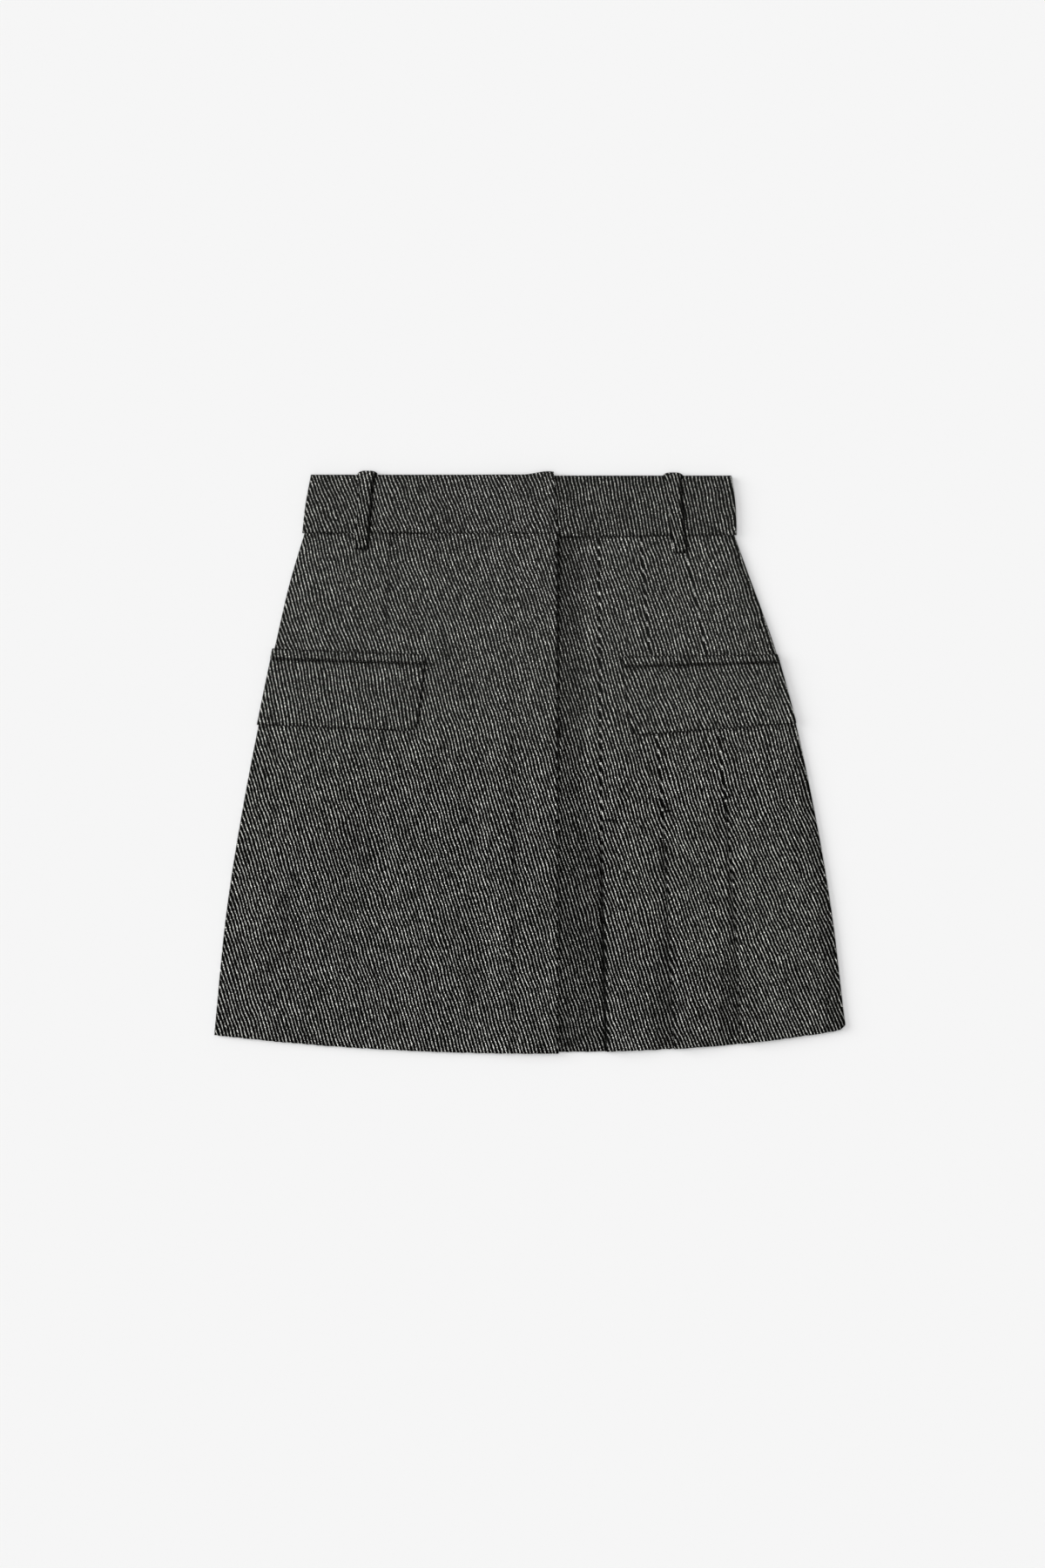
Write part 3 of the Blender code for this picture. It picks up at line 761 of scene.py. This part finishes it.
def right_shade(x, z, down):
    """Painted shade along the dart, the broken line of stitches and the front edge."""
    dart = line(x - dart_x(down), DART_DARK) * ease((DART_ENDS - down) / DART_FADE)
    broken = ease(0.5 + STITCH_BREAKS * sway(0.0, down, *STITCH_DARK_SWAY))
    stitch = near(x - STITCH_X, STITCH_DARK_WIDTH) * mix(*STITCH_BROKEN, broken)
    stitch *= stepped(down, STITCH_DARKENS)
    edge = stepped(down, EDGE_DARK) * near(x - edge_x(down), EDGE_DARK_WIDTH)
    return max(dart, stitch, edge, side_shade(x, z, down))


right_front = skirt_panel(
    "right_front", "right_front_twill", right_section, right_y, front_relief, right_shade
)
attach(right_front, "root")
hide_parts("right_front")


# ---- Left front ----
# The wearer's left front, which starts under the right one and has three knife pleats turned
# towards the front edge. They are stitched down to the hip, and open below their bar tacks.
LEFT_SEAM_FRONT = 0.1810
SEAM_STEP_X = 0.0006
SEAM_STEP = 0.0040
UNDERLAP = 0.033
UNDERLAP_CLEAR = 0.0020
DEPTH_WAIST = 0.013
DEPTH_HEM = 0.020
PLEAT_HOLD = 0.003
Pleat = namedtuple("Pleat", "waist hip release hem let_go lift shade dark sink")
Dive = namedtuple("Dive", "closed free height free_height")
LeftSteps = namedtuple("LeftSteps", "under lap seam valley layer over between foot side")
LEFT_STEPS = LeftSteps(8, 4, 6, 9, 5, 7, 8, 2, 24)
DIVE = (
    Dive(-0.0036, -0.0060, 1.0, 1.0),
    Dive(-0.0022, -0.0048, 1.0, 0.93),
    Dive(-0.0012, -0.0037, 1.0, 0.78),
    Dive(-0.00043, -0.0028, 1.0, 0.56),
    Dive(-0.00028, -0.0020, 0.95, 0.32),
    Dive(-0.00028, -0.0013, 0.5, 0.12),
    Dive(-0.00028, -0.0007, 0.0, 0.0),
)
SQUAREST = 1.25
PLEAT_SHIFT = 0.0012
SINK_STARTS = 0.72
SINK_AT_HEM = 0.7
OPENS_WITHIN = 0.08
PLEAT_DARK_WIDENS = Step(0.0, 0.30, 0.7, 1.35)
FOLD_DARK_WIDTH = 0.0016
UNDER_FOLD = 0.008
DARK_STARTS = 0.0004

PLEAT_STATIONS = (0.0, 0.25, 0.53, 1.0)
PLEATS = (
    Pleat(0.0550, 0.0559, 0.0570, 0.0619, 0.55, 0.0012, 0.0026, 1.0, 1.0),
    Pleat(0.0889, 0.0966, 0.1063, 0.1159, 0.54, 0.0008, 0.0011, 0.50, 0.45),
    Pleat(0.1224, 0.1426, 0.1573, 0.1698, 0.52, 0.0007, 0.0010, 0.38, 0.40),
)

Mark = namedtuple("Mark", "x0 x1 down rise dark")
MARK_WIDTH = 0.0014
PLEAT_MARKS = (
    Mark(0.0612, 0.0680, 0.5513, 0.0, 1.0),
    Mark(0.1080, 0.1135, 0.5361, 0.0, 0.90),
    Mark(0.1550, 0.1632, 0.5158, 0.0026, 1.0),
    Mark(0.1313, 0.1740, 0.4973, 0.0, 0.25),
)
VALLEY_DARK = 0.36
VALLEY_DARKENS = 0.004
LAP_DARK = Step(0.35, 0.65, 0.92, 0.40)
LAP_DARK_WIDTH = Step(0.0, 0.25, 0.0032, 0.0013)


def left_seam_y(x):
    """The left half's seam, which steps up to the right half's just under the front edge."""
    to_side = (x - EDGE_WAIST) / (SIDES[0].right - EDGE_WAIST)
    stepped = min(max((x - EDGE_WAIST - SEAM_STEP_X) / SEAM_STEP, 0.0), 1.0)
    return mix(RIGHT_SEAM, mix(LEFT_SEAM_FRONT, LEFT_SEAM, to_side), stepped)


def left_y(x, down):
    hem = LEFT_HEM + LEFT_RISE * abs(across(x, down)) ** LEFT_POWER
    hem += corner_lift(x) * down**CORNER_FADE
    return mix(left_seam_y(x) - GAP / 2, hem, down)


@lru_cache(maxsize=None)
def pleat_x(pleat, down):
    return follow(PLEAT_STATIONS, (pleat.waist, pleat.hip, pleat.release, pleat.hem), down)


def pleat_depth(down):
    return mix(DEPTH_WAIST, DEPTH_HEM, down)


def pleat_lean(pleat):
    """How far the pleat's grain leans out from the front edge, in degrees."""
    return degrees(atan2(pleat.hem - pleat.waist, LEFT_SEAM_FRONT - LEFT_HEM))


def left_level(x, down):
    """The left front's height from its last pleat to its side."""
    start = pleat_x(PLEATS[-1], down) + pleat_depth(down) + PLEAT_HOLD
    end = side_x("right", down) - SIDE_RADIUS - CLOTH / 2
    share = (x - start) / (end - start)
    return mix(TOP_LEVEL, SIDE_LEVEL, ease(share)) + crown(share, down) / 2


def pleat_open(pleat, down):
    """0 where the pleat is stitched down flush, 1 where it hangs free."""
    return ease((down - pleat.let_go) / OPENS_WITHIN)


def fold_edge(x, z, radius, is_open):
    """A pleat's fold edge: pressed square where it is stitched down, round where it is free."""
    path = []
    for i in range(1, 2 * BEND_STEPS + 1):
        angle = radians(mix(270, 90, i / (2 * BEND_STEPS)))
        square = min(1 / max(abs(cos(angle)), abs(sin(angle))), SQUAREST)
        reach = radius * mix(square, 1.0, is_open)
        path.append((x + reach * cos(angle), z + reach * sin(angle)))
    return path


def pleat_path(pleat, down):
    """The three layers of one pleat: under it, back to its fold edge, and over the top.
    Also gives the index of the first point of the pleat's own panel and of its fold edge."""
    fold = pleat_x(pleat, down)
    depth = pleat_depth(down)
    lift = pleat.lift * ease((down - pleat.let_go) / (1 - pleat.let_go))
    turn = LAYER / 2
    edge_turn = (LAYER + lift) / 2
    inside = fold + depth - turn
    first = fold + edge_turn + CLOTH / 2
    steps = LEFT_STEPS

    def over(x):
        return TOP_LEVEL + lift * (1 - ease((x - first) / depth))

    path = run(fold, inside, steps.layer, BASE_LEVEL)
    path += bend(inside, BASE_LEVEL + turn, turn, -90, 90)
    starts = len(path) - BEND_STEPS
    path += run(inside, first, steps.layer, MID_LEVEL)
    path += fold_edge(first, MID_LEVEL + edge_turn, edge_turn, pleat_open(pleat, down))
    anchor = len(path) - 1
    path += leaving(first, fold + depth + PLEAT_HOLD, steps.over, over)
    return path, starts, anchor


def pleat_ground(start, pleat, down, level, steps):
    """The cloth in front of a pleat, from start to under its fold edge. Where the pleat hangs
    free it sinks towards the lowest layer; where it is stitched down it only dives in there."""
    fold = pleat_x(pleat, down)
    is_open = pleat_open(pleat, down)
    far = fold + mix(DIVE[0].closed, DIVE[0].free, is_open)
    near_hem = SINK_AT_HEM * ease((down - SINK_STARTS) / (1 - SINK_STARTS))
    sink = is_open * mix(pleat.sink, 1.0, near_hem)

    def ground(x):
        fallen = ease((x - start) / (far - start)) * sink
        return mix(level(x), BASE_LEVEL, fallen)

    path = run(start, far, steps, ground)
    for dive in DIVE[1:]:
        x = fold + mix(dive.closed, dive.free, is_open)
        share = mix(dive.height, dive.free_height, is_open)
        path.append((x, mix(BASE_LEVEL, ground(x), share)))
    return path + run(path[-1][0], fold, LEFT_STEPS.foot, BASE_LEVEL)


def front_valley(x, down):
    """The cloth between the front edge and the first pleat, rising to the stitched pleat."""
    edge = edge_x(down) + SEAM_STEP
    rise = ease((x - edge) / (pleat_x(PLEATS[0], down) - edge))
    return mix(BASE_LEVEL, TOP_LEVEL, rise * (1 - pleat_open(PLEATS[0], down)))


def left_section(down):
    depth = pleat_depth(down)
    edge = edge_x(down)
    clear = edge - UNDERLAP_CLEAR
    step = edge + SEAM_STEP_X
    steps = LEFT_STEPS

    def valley(x):
        return front_valley(x, down)

    path = [(edge - UNDERLAP, BASE_LEVEL)] + run(edge - UNDERLAP, clear, steps.under, BASE_LEVEL)
    path += run(clear, step, steps.lap, BASE_LEVEL)
    path += run(step, step + SEAM_STEP, steps.seam, BASE_LEVEL)
    path += pleat_ground(step + SEAM_STEP, PLEATS[0], down, valley, steps.valley)
    panels = [Panel(0, 0)]
    for pleat, following in zip(PLEATS, PLEATS[1:] + (None,)):
        layers, starts, anchor = pleat_path(pleat, down)
        free_y = mix(LEFT_SEAM, LEFT_HEM, pleat.let_go)
        shift = -PLEAT_SHIFT * len(panels)
        first = len(path) + starts
        panels.append(Panel(first, len(path) + anchor, shift, pleat_lean(pleat), free_y))
        path += layers
        held = pleat_x(pleat, down) + depth + PLEAT_HOLD
        if following is None:
            side = side_fold("right", SIDE_LEVEL, down)[::-1]
            path += run(held, side[0][0], steps.side, lambda x: left_level(x, down))
            path += side[1:]
        else:
            path += pleat_ground(held, following, down, lambda x: TOP_LEVEL, steps.between)
    return path, panels


def marked(x, down):
    """Short lines of painted shade at the tacks and pressed ends, as shares of full shade."""
    shade = 0.0
    for mark in PLEAT_MARKS:
        along = min(max((x - mark.x0) / (mark.x1 - mark.x0), 0.0), 1.0)
        off_end = max(mark.x0 - x, x - mark.x1, 0.0)
        aside = (down - mark.down) * SKIRT_LENGTH + mark.rise * (along - 0.5)
        shade = max(shade, mark.dark * near(hypot(off_end, aside), MARK_WIDTH))
    return shade


def left_shade(x, z, down):
    """Painted shade beside the front edge, over the valley before the first pleat, in under each
    pleat's fold, and at the marks.
    """
    shade = max(side_shade(x, z, down), marked(x, down) * (z > MID_LEVEL))
    if z < MID_LEVEL:
        edge = x - edge_x(down)
        lap = near(max(edge - DARK_STARTS, 0.0), stepped(down, LAP_DARK_WIDTH))
        valley = VALLEY_DARK * ease(edge / VALLEY_DARKENS)
        shade = max(shade, valley, stepped(down, LAP_DARK) * lap)
    for pleat in PLEATS:
        fold = x - pleat_x(pleat, down)
        dark = near(fold, FOLD_DARK_WIDTH)
        if z < TOP_LEVEL - CLOTH / 2 and abs(fold) < UNDER_FOLD:
            width = pleat.shade * stepped(down - pleat.let_go, PLEAT_DARK_WIDENS)
            dark = near(min(fold + DARK_STARTS, 0.0), width)
        shade = max(shade, pleat.dark * pleat_open(pleat, down) * dark)
    return shade


left_front = skirt_panel(
    "left_front", "left_front_twill", left_section, left_y, front_relief, left_shade, marks=PLEAT_MARKS
)
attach(left_front, "root")
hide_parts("left_front")


# ---- Waistband ----
# A doubled band of the same twill, cut across the skirt's grain and sewn on edge to edge. The
# back piece meets the two front pieces at the sides, and the right end laps over the left one.
BAND_CLOTH = 0.0020
BAND_BACK = BAND_CLOTH / 2
BAND_BEND = 0.0016
BAND_FRONT = BAND_BACK + 2 * BAND_BEND
BAND_LAP = BAND_FRONT + BAND_CLOTH + GAP
BAND_END_RISE = 0.0026
BAND_END_PEAK = 0.0145
BAND_END_REACH = 0.020
BACK_TUCK = 0.0008
BAND_ROWS = 16
BAND_HEIGHT = 0.0465
RIGHT_TOP = 0.2313
LEFT_TOP = 0.2306
BAND_RIM = 0.0007
BAND_RIM_DARK = Line(0.4, 0.0007)
BAND_LEAN = 0.0028
BAND_CLEAR = (0.004, 0.002)
BAND_CALM = 0.02
BAND_PLUMP = 0.0003
BAND_SWELL = 0.00025
BAND_SWAY = (0.030, 9.5)
BandSteps = namedtuple("BandSteps", "back slope lap under seam front")
BAND_STEPS = BandSteps((60, 40), 10, 16, 12, 3, (40, 44))
BandSide = namedtuple("BandSide", "up left right")
BAND_SIDES = (
    BandSide(0.0, -0.1831, 0.1663),
    BandSide(0.5, -0.1804, 0.1654),
    BandSide(1.0, -0.1761, 0.1621),
)


@lru_cache(maxsize=None)
def band_side_x(which, up):
    return follow([s.up for s in BAND_SIDES], [getattr(s, which) for s in BAND_SIDES], up)


def band_fold(which, level, up):
    inward = 1 if which == "left" else -1
    half_height = BAND_BEND if level > BAND_BACK else -BAND_BEND
    return half_fold(band_side_x(which, up), inward, BAND_CLOTH, level, half_height)


def band_end_rise(x):
    """The band's top edge kicks up a little close to its right end."""
    return BAND_END_RISE * (1 - ease(abs(x - BAND_END_PEAK) / BAND_END_REACH))


def band_back_section(up):
    left = band_fold("left", BAND_BACK, up)
    right = band_fold("right", BAND_BACK, up)[::-1]
    steps = BAND_STEPS.back
    path = left + run(left[-1][0], SEAM_TURNS, steps[0], BAND_BACK)
    path += run(SEAM_TURNS, right[0][0], steps[1], BAND_BACK)
    return path + right[1:]


def band_right_section(up):
    """The right end of the waistband, which climbs over the left end's underlap."""
    edge = mix(EDGE_WAIST, EDGE_WAIST - BAND_LEAN, up)
    slope_to = edge - FACING - BAND_CLEAR[0]
    slope_from = slope_to - LAP_SLOPE

    def climb(x):
        share = ease((x - slope_to + LAP_SLOPE) / LAP_SLOPE)
        return mix(BAND_FRONT, BAND_LAP, share)

    path = band_fold("left", BAND_FRONT, up)
    path += run(path[-1][0], slope_from, BAND_STEPS.front[0], climb)
    path += run(slope_from, slope_to, BAND_STEPS.slope, climb)
    return path + run(slope_to, edge, BAND_STEPS.lap, climb)


def band_left_section(up):
    """The left end of the waistband, flat from its underlap to the side."""
    start = EDGE_WAIST - UNDERLAP - BAND_CLEAR[1]
    step = EDGE_WAIST + SEAM_STEP_X
    side = band_fold("right", BAND_FRONT, up)[::-1]
    path = [(start, BAND_FRONT)] + run(start, step, BAND_STEPS.under, BAND_FRONT)
    path += run(step, step + SEAM_STEP, BAND_STEPS.seam, BAND_FRONT)
    path += run(step + SEAM_STEP, side[0][0], BAND_STEPS.front[1], BAND_FRONT)
    return path + side[1:]


def band_relief(x, y, up):
    """The band is a little plump between its edges, and uneven along them."""
    inside = ease(min(x - BAND_SIDES[0].left, BAND_SIDES[0].right - x) / BAND_CALM)
    return inside * (BAND_PLUMP * sin(pi * up) + BAND_SWELL * sway(x, y, *BAND_SWAY))


def band_piece(name, section, seam, top, turn=0.0, shade=1.0, front=True):
    rows = []
    for up in stations(BAND_ROWS, BAND_HEIGHT):
        path = section(up)
        heights = [mix(seam(x) + GAP / 2, top(x), up) for x, z in path]
        flat = flat_pattern(path, heights, [Panel(0, len(path) // 2)])
        # Painted shade in the waist seam and along the band's top edge.
        sunk = near(up * BAND_HEIGHT, SEAM_WIDTH)
        rim = line((1 - up) * BAND_HEIGHT, BAND_RIM_DARK)
        points = []
        for i, (x, z) in enumerate(path):
            lift = band_relief(x, heights[i], up) if front else 0.0
            lift -= SEAM_SINK * sunk * front
            dark = max(sunk * seam_shade(x), rim)
            points.append((x, heights[i], z + lift, *flat[i], dark))
        rows.append(points)
    piece = cloth_sheet(name, rows, BAND_CLOTH, wool(name + "_twill", turn, shade), BAND_RIM)
    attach(piece, "root")
    return piece


# Painted shade darkens each band piece all over; the left piece, lower than the right one's lap, is
# darkest.
waistband_back = band_piece(
    "waistband_back_cloth",
    band_back_section,
    back_seam_y,
    lambda x: LEFT_TOP - BACK_TUCK,
    shade=0.90,
    front=False,
)
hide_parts("waistband_back")

waistband_right = band_piece(
    "waistband_right_cloth",
    band_right_section,
    lambda x: RIGHT_SEAM,
    lambda x: RIGHT_TOP + band_end_rise(x),
    turn=-3.0,
    shade=0.93,
)
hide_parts("waistband_right")

waistband_left = band_piece(
    "waistband_left_cloth",
    band_left_section,
    left_seam_y,
    lambda x: LEFT_TOP,
    turn=5.5,
    shade=0.82,
)
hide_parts("waistband_left")


# ---- Pockets ----
# On each hip a narrow welt with a flap under it. Both are flat pieces of the same twill that
# follow the front and go round its side, and the flap's lower inner corner is round.
FLAP_CLOTH = 0.0014
WELT_CLOTH = 0.0018
FLAP_CORNER = 0.009
FLAP_ROWS = 22
FLAP_COLUMNS = 54
WELT_ROWS = 4
WELT_HEIGHT = 0.0085
WELT_PLUMP = 0.0004
FLAP_HEIGHT = 0.054
FLAP_CURL = 0.0009
FLAP_ROLL = 0.0006
FLAP_CURL_HEIGHT = 0.010
FLAP_TOP_DARK = 0.0016
FLAP_RIM = 0.0005
FLAP_TONE = 0.97
WELT_DARK = 0.75
WELT_DARK_WIDTH = 0.0009
WELT_RIM = 0.0006
WELT_TONE = 0.95
EDGE_WIDTH = 0.0010
Pocket = namedtuple(
    "Pocket",
    "side inner_top inner_bottom welt_inner welt_outer"
    " top_inner top_outer bottom_inner bottom_outer wrap turn inner_dark",
)
POCKETS = {
    "right": Pocket(
        -1, -0.0838, -0.0902, 0.0870, 0.0917, 0.0793, 0.0833, 0.0252, 0.0304, 80, 6.0, 1.0
    ),
    "left": Pocket(
        1, 0.0736, 0.0804, 0.0852, 0.0869, 0.0771, 0.0809, 0.0216, 0.0318, 40, -5.0, 0.8
    ),
}


def pocket_down(pocket, y):
    """How far down the side the height Y is."""
    seam = RIGHT_SEAM if pocket.side < 0 else LEFT_SEAM
    hem = RIGHT_HEM + RIGHT_RISE if pocket.side < 0 else LEFT_HEM + LEFT_RISE
    return (seam - y) / (seam - hem)


def carrier_level(pocket, x, down):
    """The height of the cloth that a pocket lies on. Its stiff flap bridges the pleats' steps."""
    if pocket.side < 0:
        return right_level(x, down)
    return left_level(max(x, pleat_x(PLEATS[-1], down)), down)


def pocket_row(pocket, inner_x, inner_y, outer_y, thickness):
    """Points from the inner end, over the front and round its side, above the front's own."""
    down = pocket_down(pocket, outer_y)
    proud = CLOTH / 2 + GAP + thickness / 2
    which = "left" if pocket.side < 0 else "right"
    centre = side_x(which, down) - pocket.side * (SIDE_RADIUS + CLOTH / 2)
    radius = SIDE_RADIUS + proud
    points = []
    for share in stations(FLAP_COLUMNS, abs(centre - inner_x)):
        x = mix(inner_x, centre, share)
        y = mix(inner_y, outer_y, share)
        # Painted shade along the inner edge.
        edge = pocket.inner_dark * edge_line(abs(x - inner_x), EDGE_WIDTH)
        z = carrier_level(pocket, x, down) + proud + front_relief(x, y, down)
        points.append((x, y, z, x, y, edge))
    for i in range(1, BEND_STEPS + 1):
        angle = radians(pocket.wrap * i / BEND_STEPS)
        x = centre + pocket.side * radius * sin(angle)
        z = SIDE_LEVEL - SIDE_RADIUS + radius * cos(angle)
        points.append((x, outer_y, z, centre + pocket.side * radius * angle, outer_y, 0.0))
    return points


def round_corner(aside, up):
    """How far a point near the flap's lower inner corner moves out and up to round it."""
    across_corner = max(1 - aside / FLAP_CORNER, 0.0)
    down_corner = max(1 - up / FLAP_CORNER, 0.0)
    out = across_corner * (1 - sqrt(1 - down_corner**2 / 2))
    rise = down_corner * (1 - sqrt(1 - across_corner**2 / 2))
    return out * FLAP_CORNER, rise * FLAP_CORNER


for side_name, pocket in POCKETS.items():
    rows = []
    for share in stations(WELT_ROWS, WELT_HEIGHT):
        inner = mix(pocket.top_inner + GAP, pocket.welt_inner, share)
        outer = mix(pocket.top_outer + GAP, pocket.welt_outer, share)
        # Painted shade along the welt's top and bottom edges.
        edge = WELT_DARK * edge_line(min(share, 1 - share) * WELT_HEIGHT, WELT_DARK_WIDTH)
        plump = WELT_PLUMP * sin(pi * share)
        points = pocket_row(pocket, pocket.inner_top, inner, outer, WELT_CLOTH)
        rows.append([(x, y, z + plump, u, v, max(s, edge)) for x, y, z, u, v, s in points])
    # Painted shade darkens the welt a little all over.
    twill = wool(side_name + "_welt_twill", pocket.turn, WELT_TONE)
    welt = cloth_sheet(side_name + "_pocket_welt_cloth", rows, WELT_CLOTH, twill, WELT_RIM)
    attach(welt, "root")
    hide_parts(side_name + "_pocket_welt")

    rows = []
    for share in stations(FLAP_ROWS, FLAP_HEIGHT):
        inner_x = mix(pocket.inner_bottom, pocket.inner_top, share)
        inner_y = mix(pocket.bottom_inner, pocket.top_inner, share)
        outer_y = mix(pocket.bottom_outer, pocket.top_outer, share)
        # Painted shade along the flap's top and bottom edges, added to the inner edge's.
        top = near((1 - share) * FLAP_HEIGHT, FLAP_TOP_DARK)
        bottom = near(share * FLAP_HEIGHT, EDGE_WIDTH)
        curl = FLAP_CURL * (1 - ease(share * FLAP_HEIGHT / FLAP_CURL_HEIGHT))
        points = []
        for x, y, z, u, v, edge in pocket_row(pocket, inner_x, inner_y, outer_y, FLAP_CLOTH):
            over = round_corner(abs(x - inner_x), share * FLAP_HEIGHT)
            x += pocket.side * over[0]
            y += over[1]
            z += curl - FLAP_ROLL * max(edge, bottom)
            points.append((x, y, z, x, y, max(edge, top, bottom)))
        rows.append(points)
    # Painted shade darkens the flap a little all over.
    twill = wool(side_name + "_flap_twill", pocket.turn, FLAP_TONE)
    flap = cloth_sheet(side_name + "_pocket_flap_cloth", rows, FLAP_CLOTH, twill, FLAP_RIM)
    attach(flap, "root")
    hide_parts(side_name + "_pocket_flap")


# ---- Belt loops ----
# Two narrow strips of the twill, folded to three layers and sewn to the band. Each starts over
# the band's top edge, stands a little off it, and ends in a tack just below the waist seam.
LOOP_CLOTH = 0.0016
LOOP_WIDTH = 0.0120
LOOP_ARCH = 0.0005
LOOP_COLUMNS = 12
LOOP_ROWS = 48
LOOP_FLARE = Line(0.0016, 0.0048)
LOOP_SHOULDER = Line(0.0022, 0.006)
LOOP_REACH = 0.004
LOOP_FOOT_SHARE = 0.7
LOOP_FOOT_AIR = 0.0001
LOOP_TURNS = ((0.0016, 0.0002), (0.0005, -0.0003), (0.0, -0.0012))
LOOP_STRAIGHT = 0.008
LOOP_TAIL = 0.0010
LOOP_FOOT_DARK = 0.0012
LOOP_EDGE_DARK = 0.0018
LOOP_LIT_SIDE_SHADE = Line(0.35, 0.0009)
LOOP_RIM = 0.0006
LOOP_TONE = 0.95
Loop = namedtuple("Loop", "x_top x_bottom y_top y_bottom foot_level turn")
LOOPS = {
    "right": Loop(-0.1305, -0.1355, 0.2338, 0.1712, 0.0046, 0.0),
    "left": Loop(0.1150, 0.1212, 0.2324, 0.1680, TOP_LEVEL + CLOTH / 2, 6.0),
}


def loop_path(loop):
    """The strip's path in Y and Z, resampled evenly along its length."""
    half = LOOP_CLOTH / 2
    band_top = BAND_FRONT + BAND_CLOTH / 2 + GAP + half
    foot = loop.foot_level + GAP + half
    corners = [
        (loop.y_bottom, foot),
        (LEFT_SEAM - LOOP_REACH, mix(band_top, foot, LOOP_FOOT_SHARE) + LOOP_FOOT_AIR),
        (RIGHT_SEAM + LOOP_REACH, band_top + LOOP_ARCH / 2),
        ((RIGHT_TOP + RIGHT_SEAM) / 2, band_top + LOOP_ARCH),
        (RIGHT_TOP - LOOP_STRAIGHT, band_top + LOOP_ARCH),
    ]
    corners += [(loop.y_top - back, band_top + rise) for back, rise in LOOP_TURNS]
    corners.append((loop.y_top, BAND_FRONT - LOOP_TAIL))
    lengths = [0.0]
    for (y0, z0), (y1, z1) in zip(corners, corners[1:]):
        lengths.append(lengths[-1] + hypot(y1 - y0, z1 - z0))
    places = [mix(0.0, lengths[-1], i / LOOP_ROWS) for i in range(LOOP_ROWS + 1)]
    ys = np.interp(places, lengths, [corner[0] for corner in corners])
    zs = np.interp(places, lengths, [corner[1] for corner in corners])
    return list(zip(ys, zs, places))


for side_name, loop in LOOPS.items():
    rows = []
    for y, z, place in loop_path(loop):
        x = mix(loop.x_bottom, loop.x_top, (y - loop.y_bottom) / (loop.y_top - loop.y_bottom))
        width = LOOP_WIDTH + 2 * line(loop.y_top - y, LOOP_FLARE)
        # Painted shade at the foot's end, along the shadowed right edge, and fainter along the lit
        # left edge.
        foot = edge_line(place, LOOP_FOOT_DARK)
        points = []
        for i in range(LOOP_COLUMNS + 1):
            aside = width * (i / LOOP_COLUMNS - 0.5)
            lit_side_shade = line(width / 2 + aside, LOOP_LIT_SIDE_SHADE)
            shadow_side_shade = edge_line(width / 2 - aside, LOOP_EDGE_DARK)
            shade = max(lit_side_shade, shadow_side_shade, foot)
            shoulder = abs(2 * aside / width) ** 4 * line(loop.y_top - y, LOOP_SHOULDER)
            points.append((x + aside, float(y) - shoulder, float(z), aside, place, shade))
        rows.append(points)
    # Painted shade darkens the loop a little all over.
    twill = wool("loop_twill_" + side_name, loop.turn, LOOP_TONE)
    strip = cloth_sheet("belt_loop_" + side_name + "_cloth", rows, LOOP_CLOTH, twill, LOOP_RIM)
    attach(strip, "root")
    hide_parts("belt_loop_" + side_name)
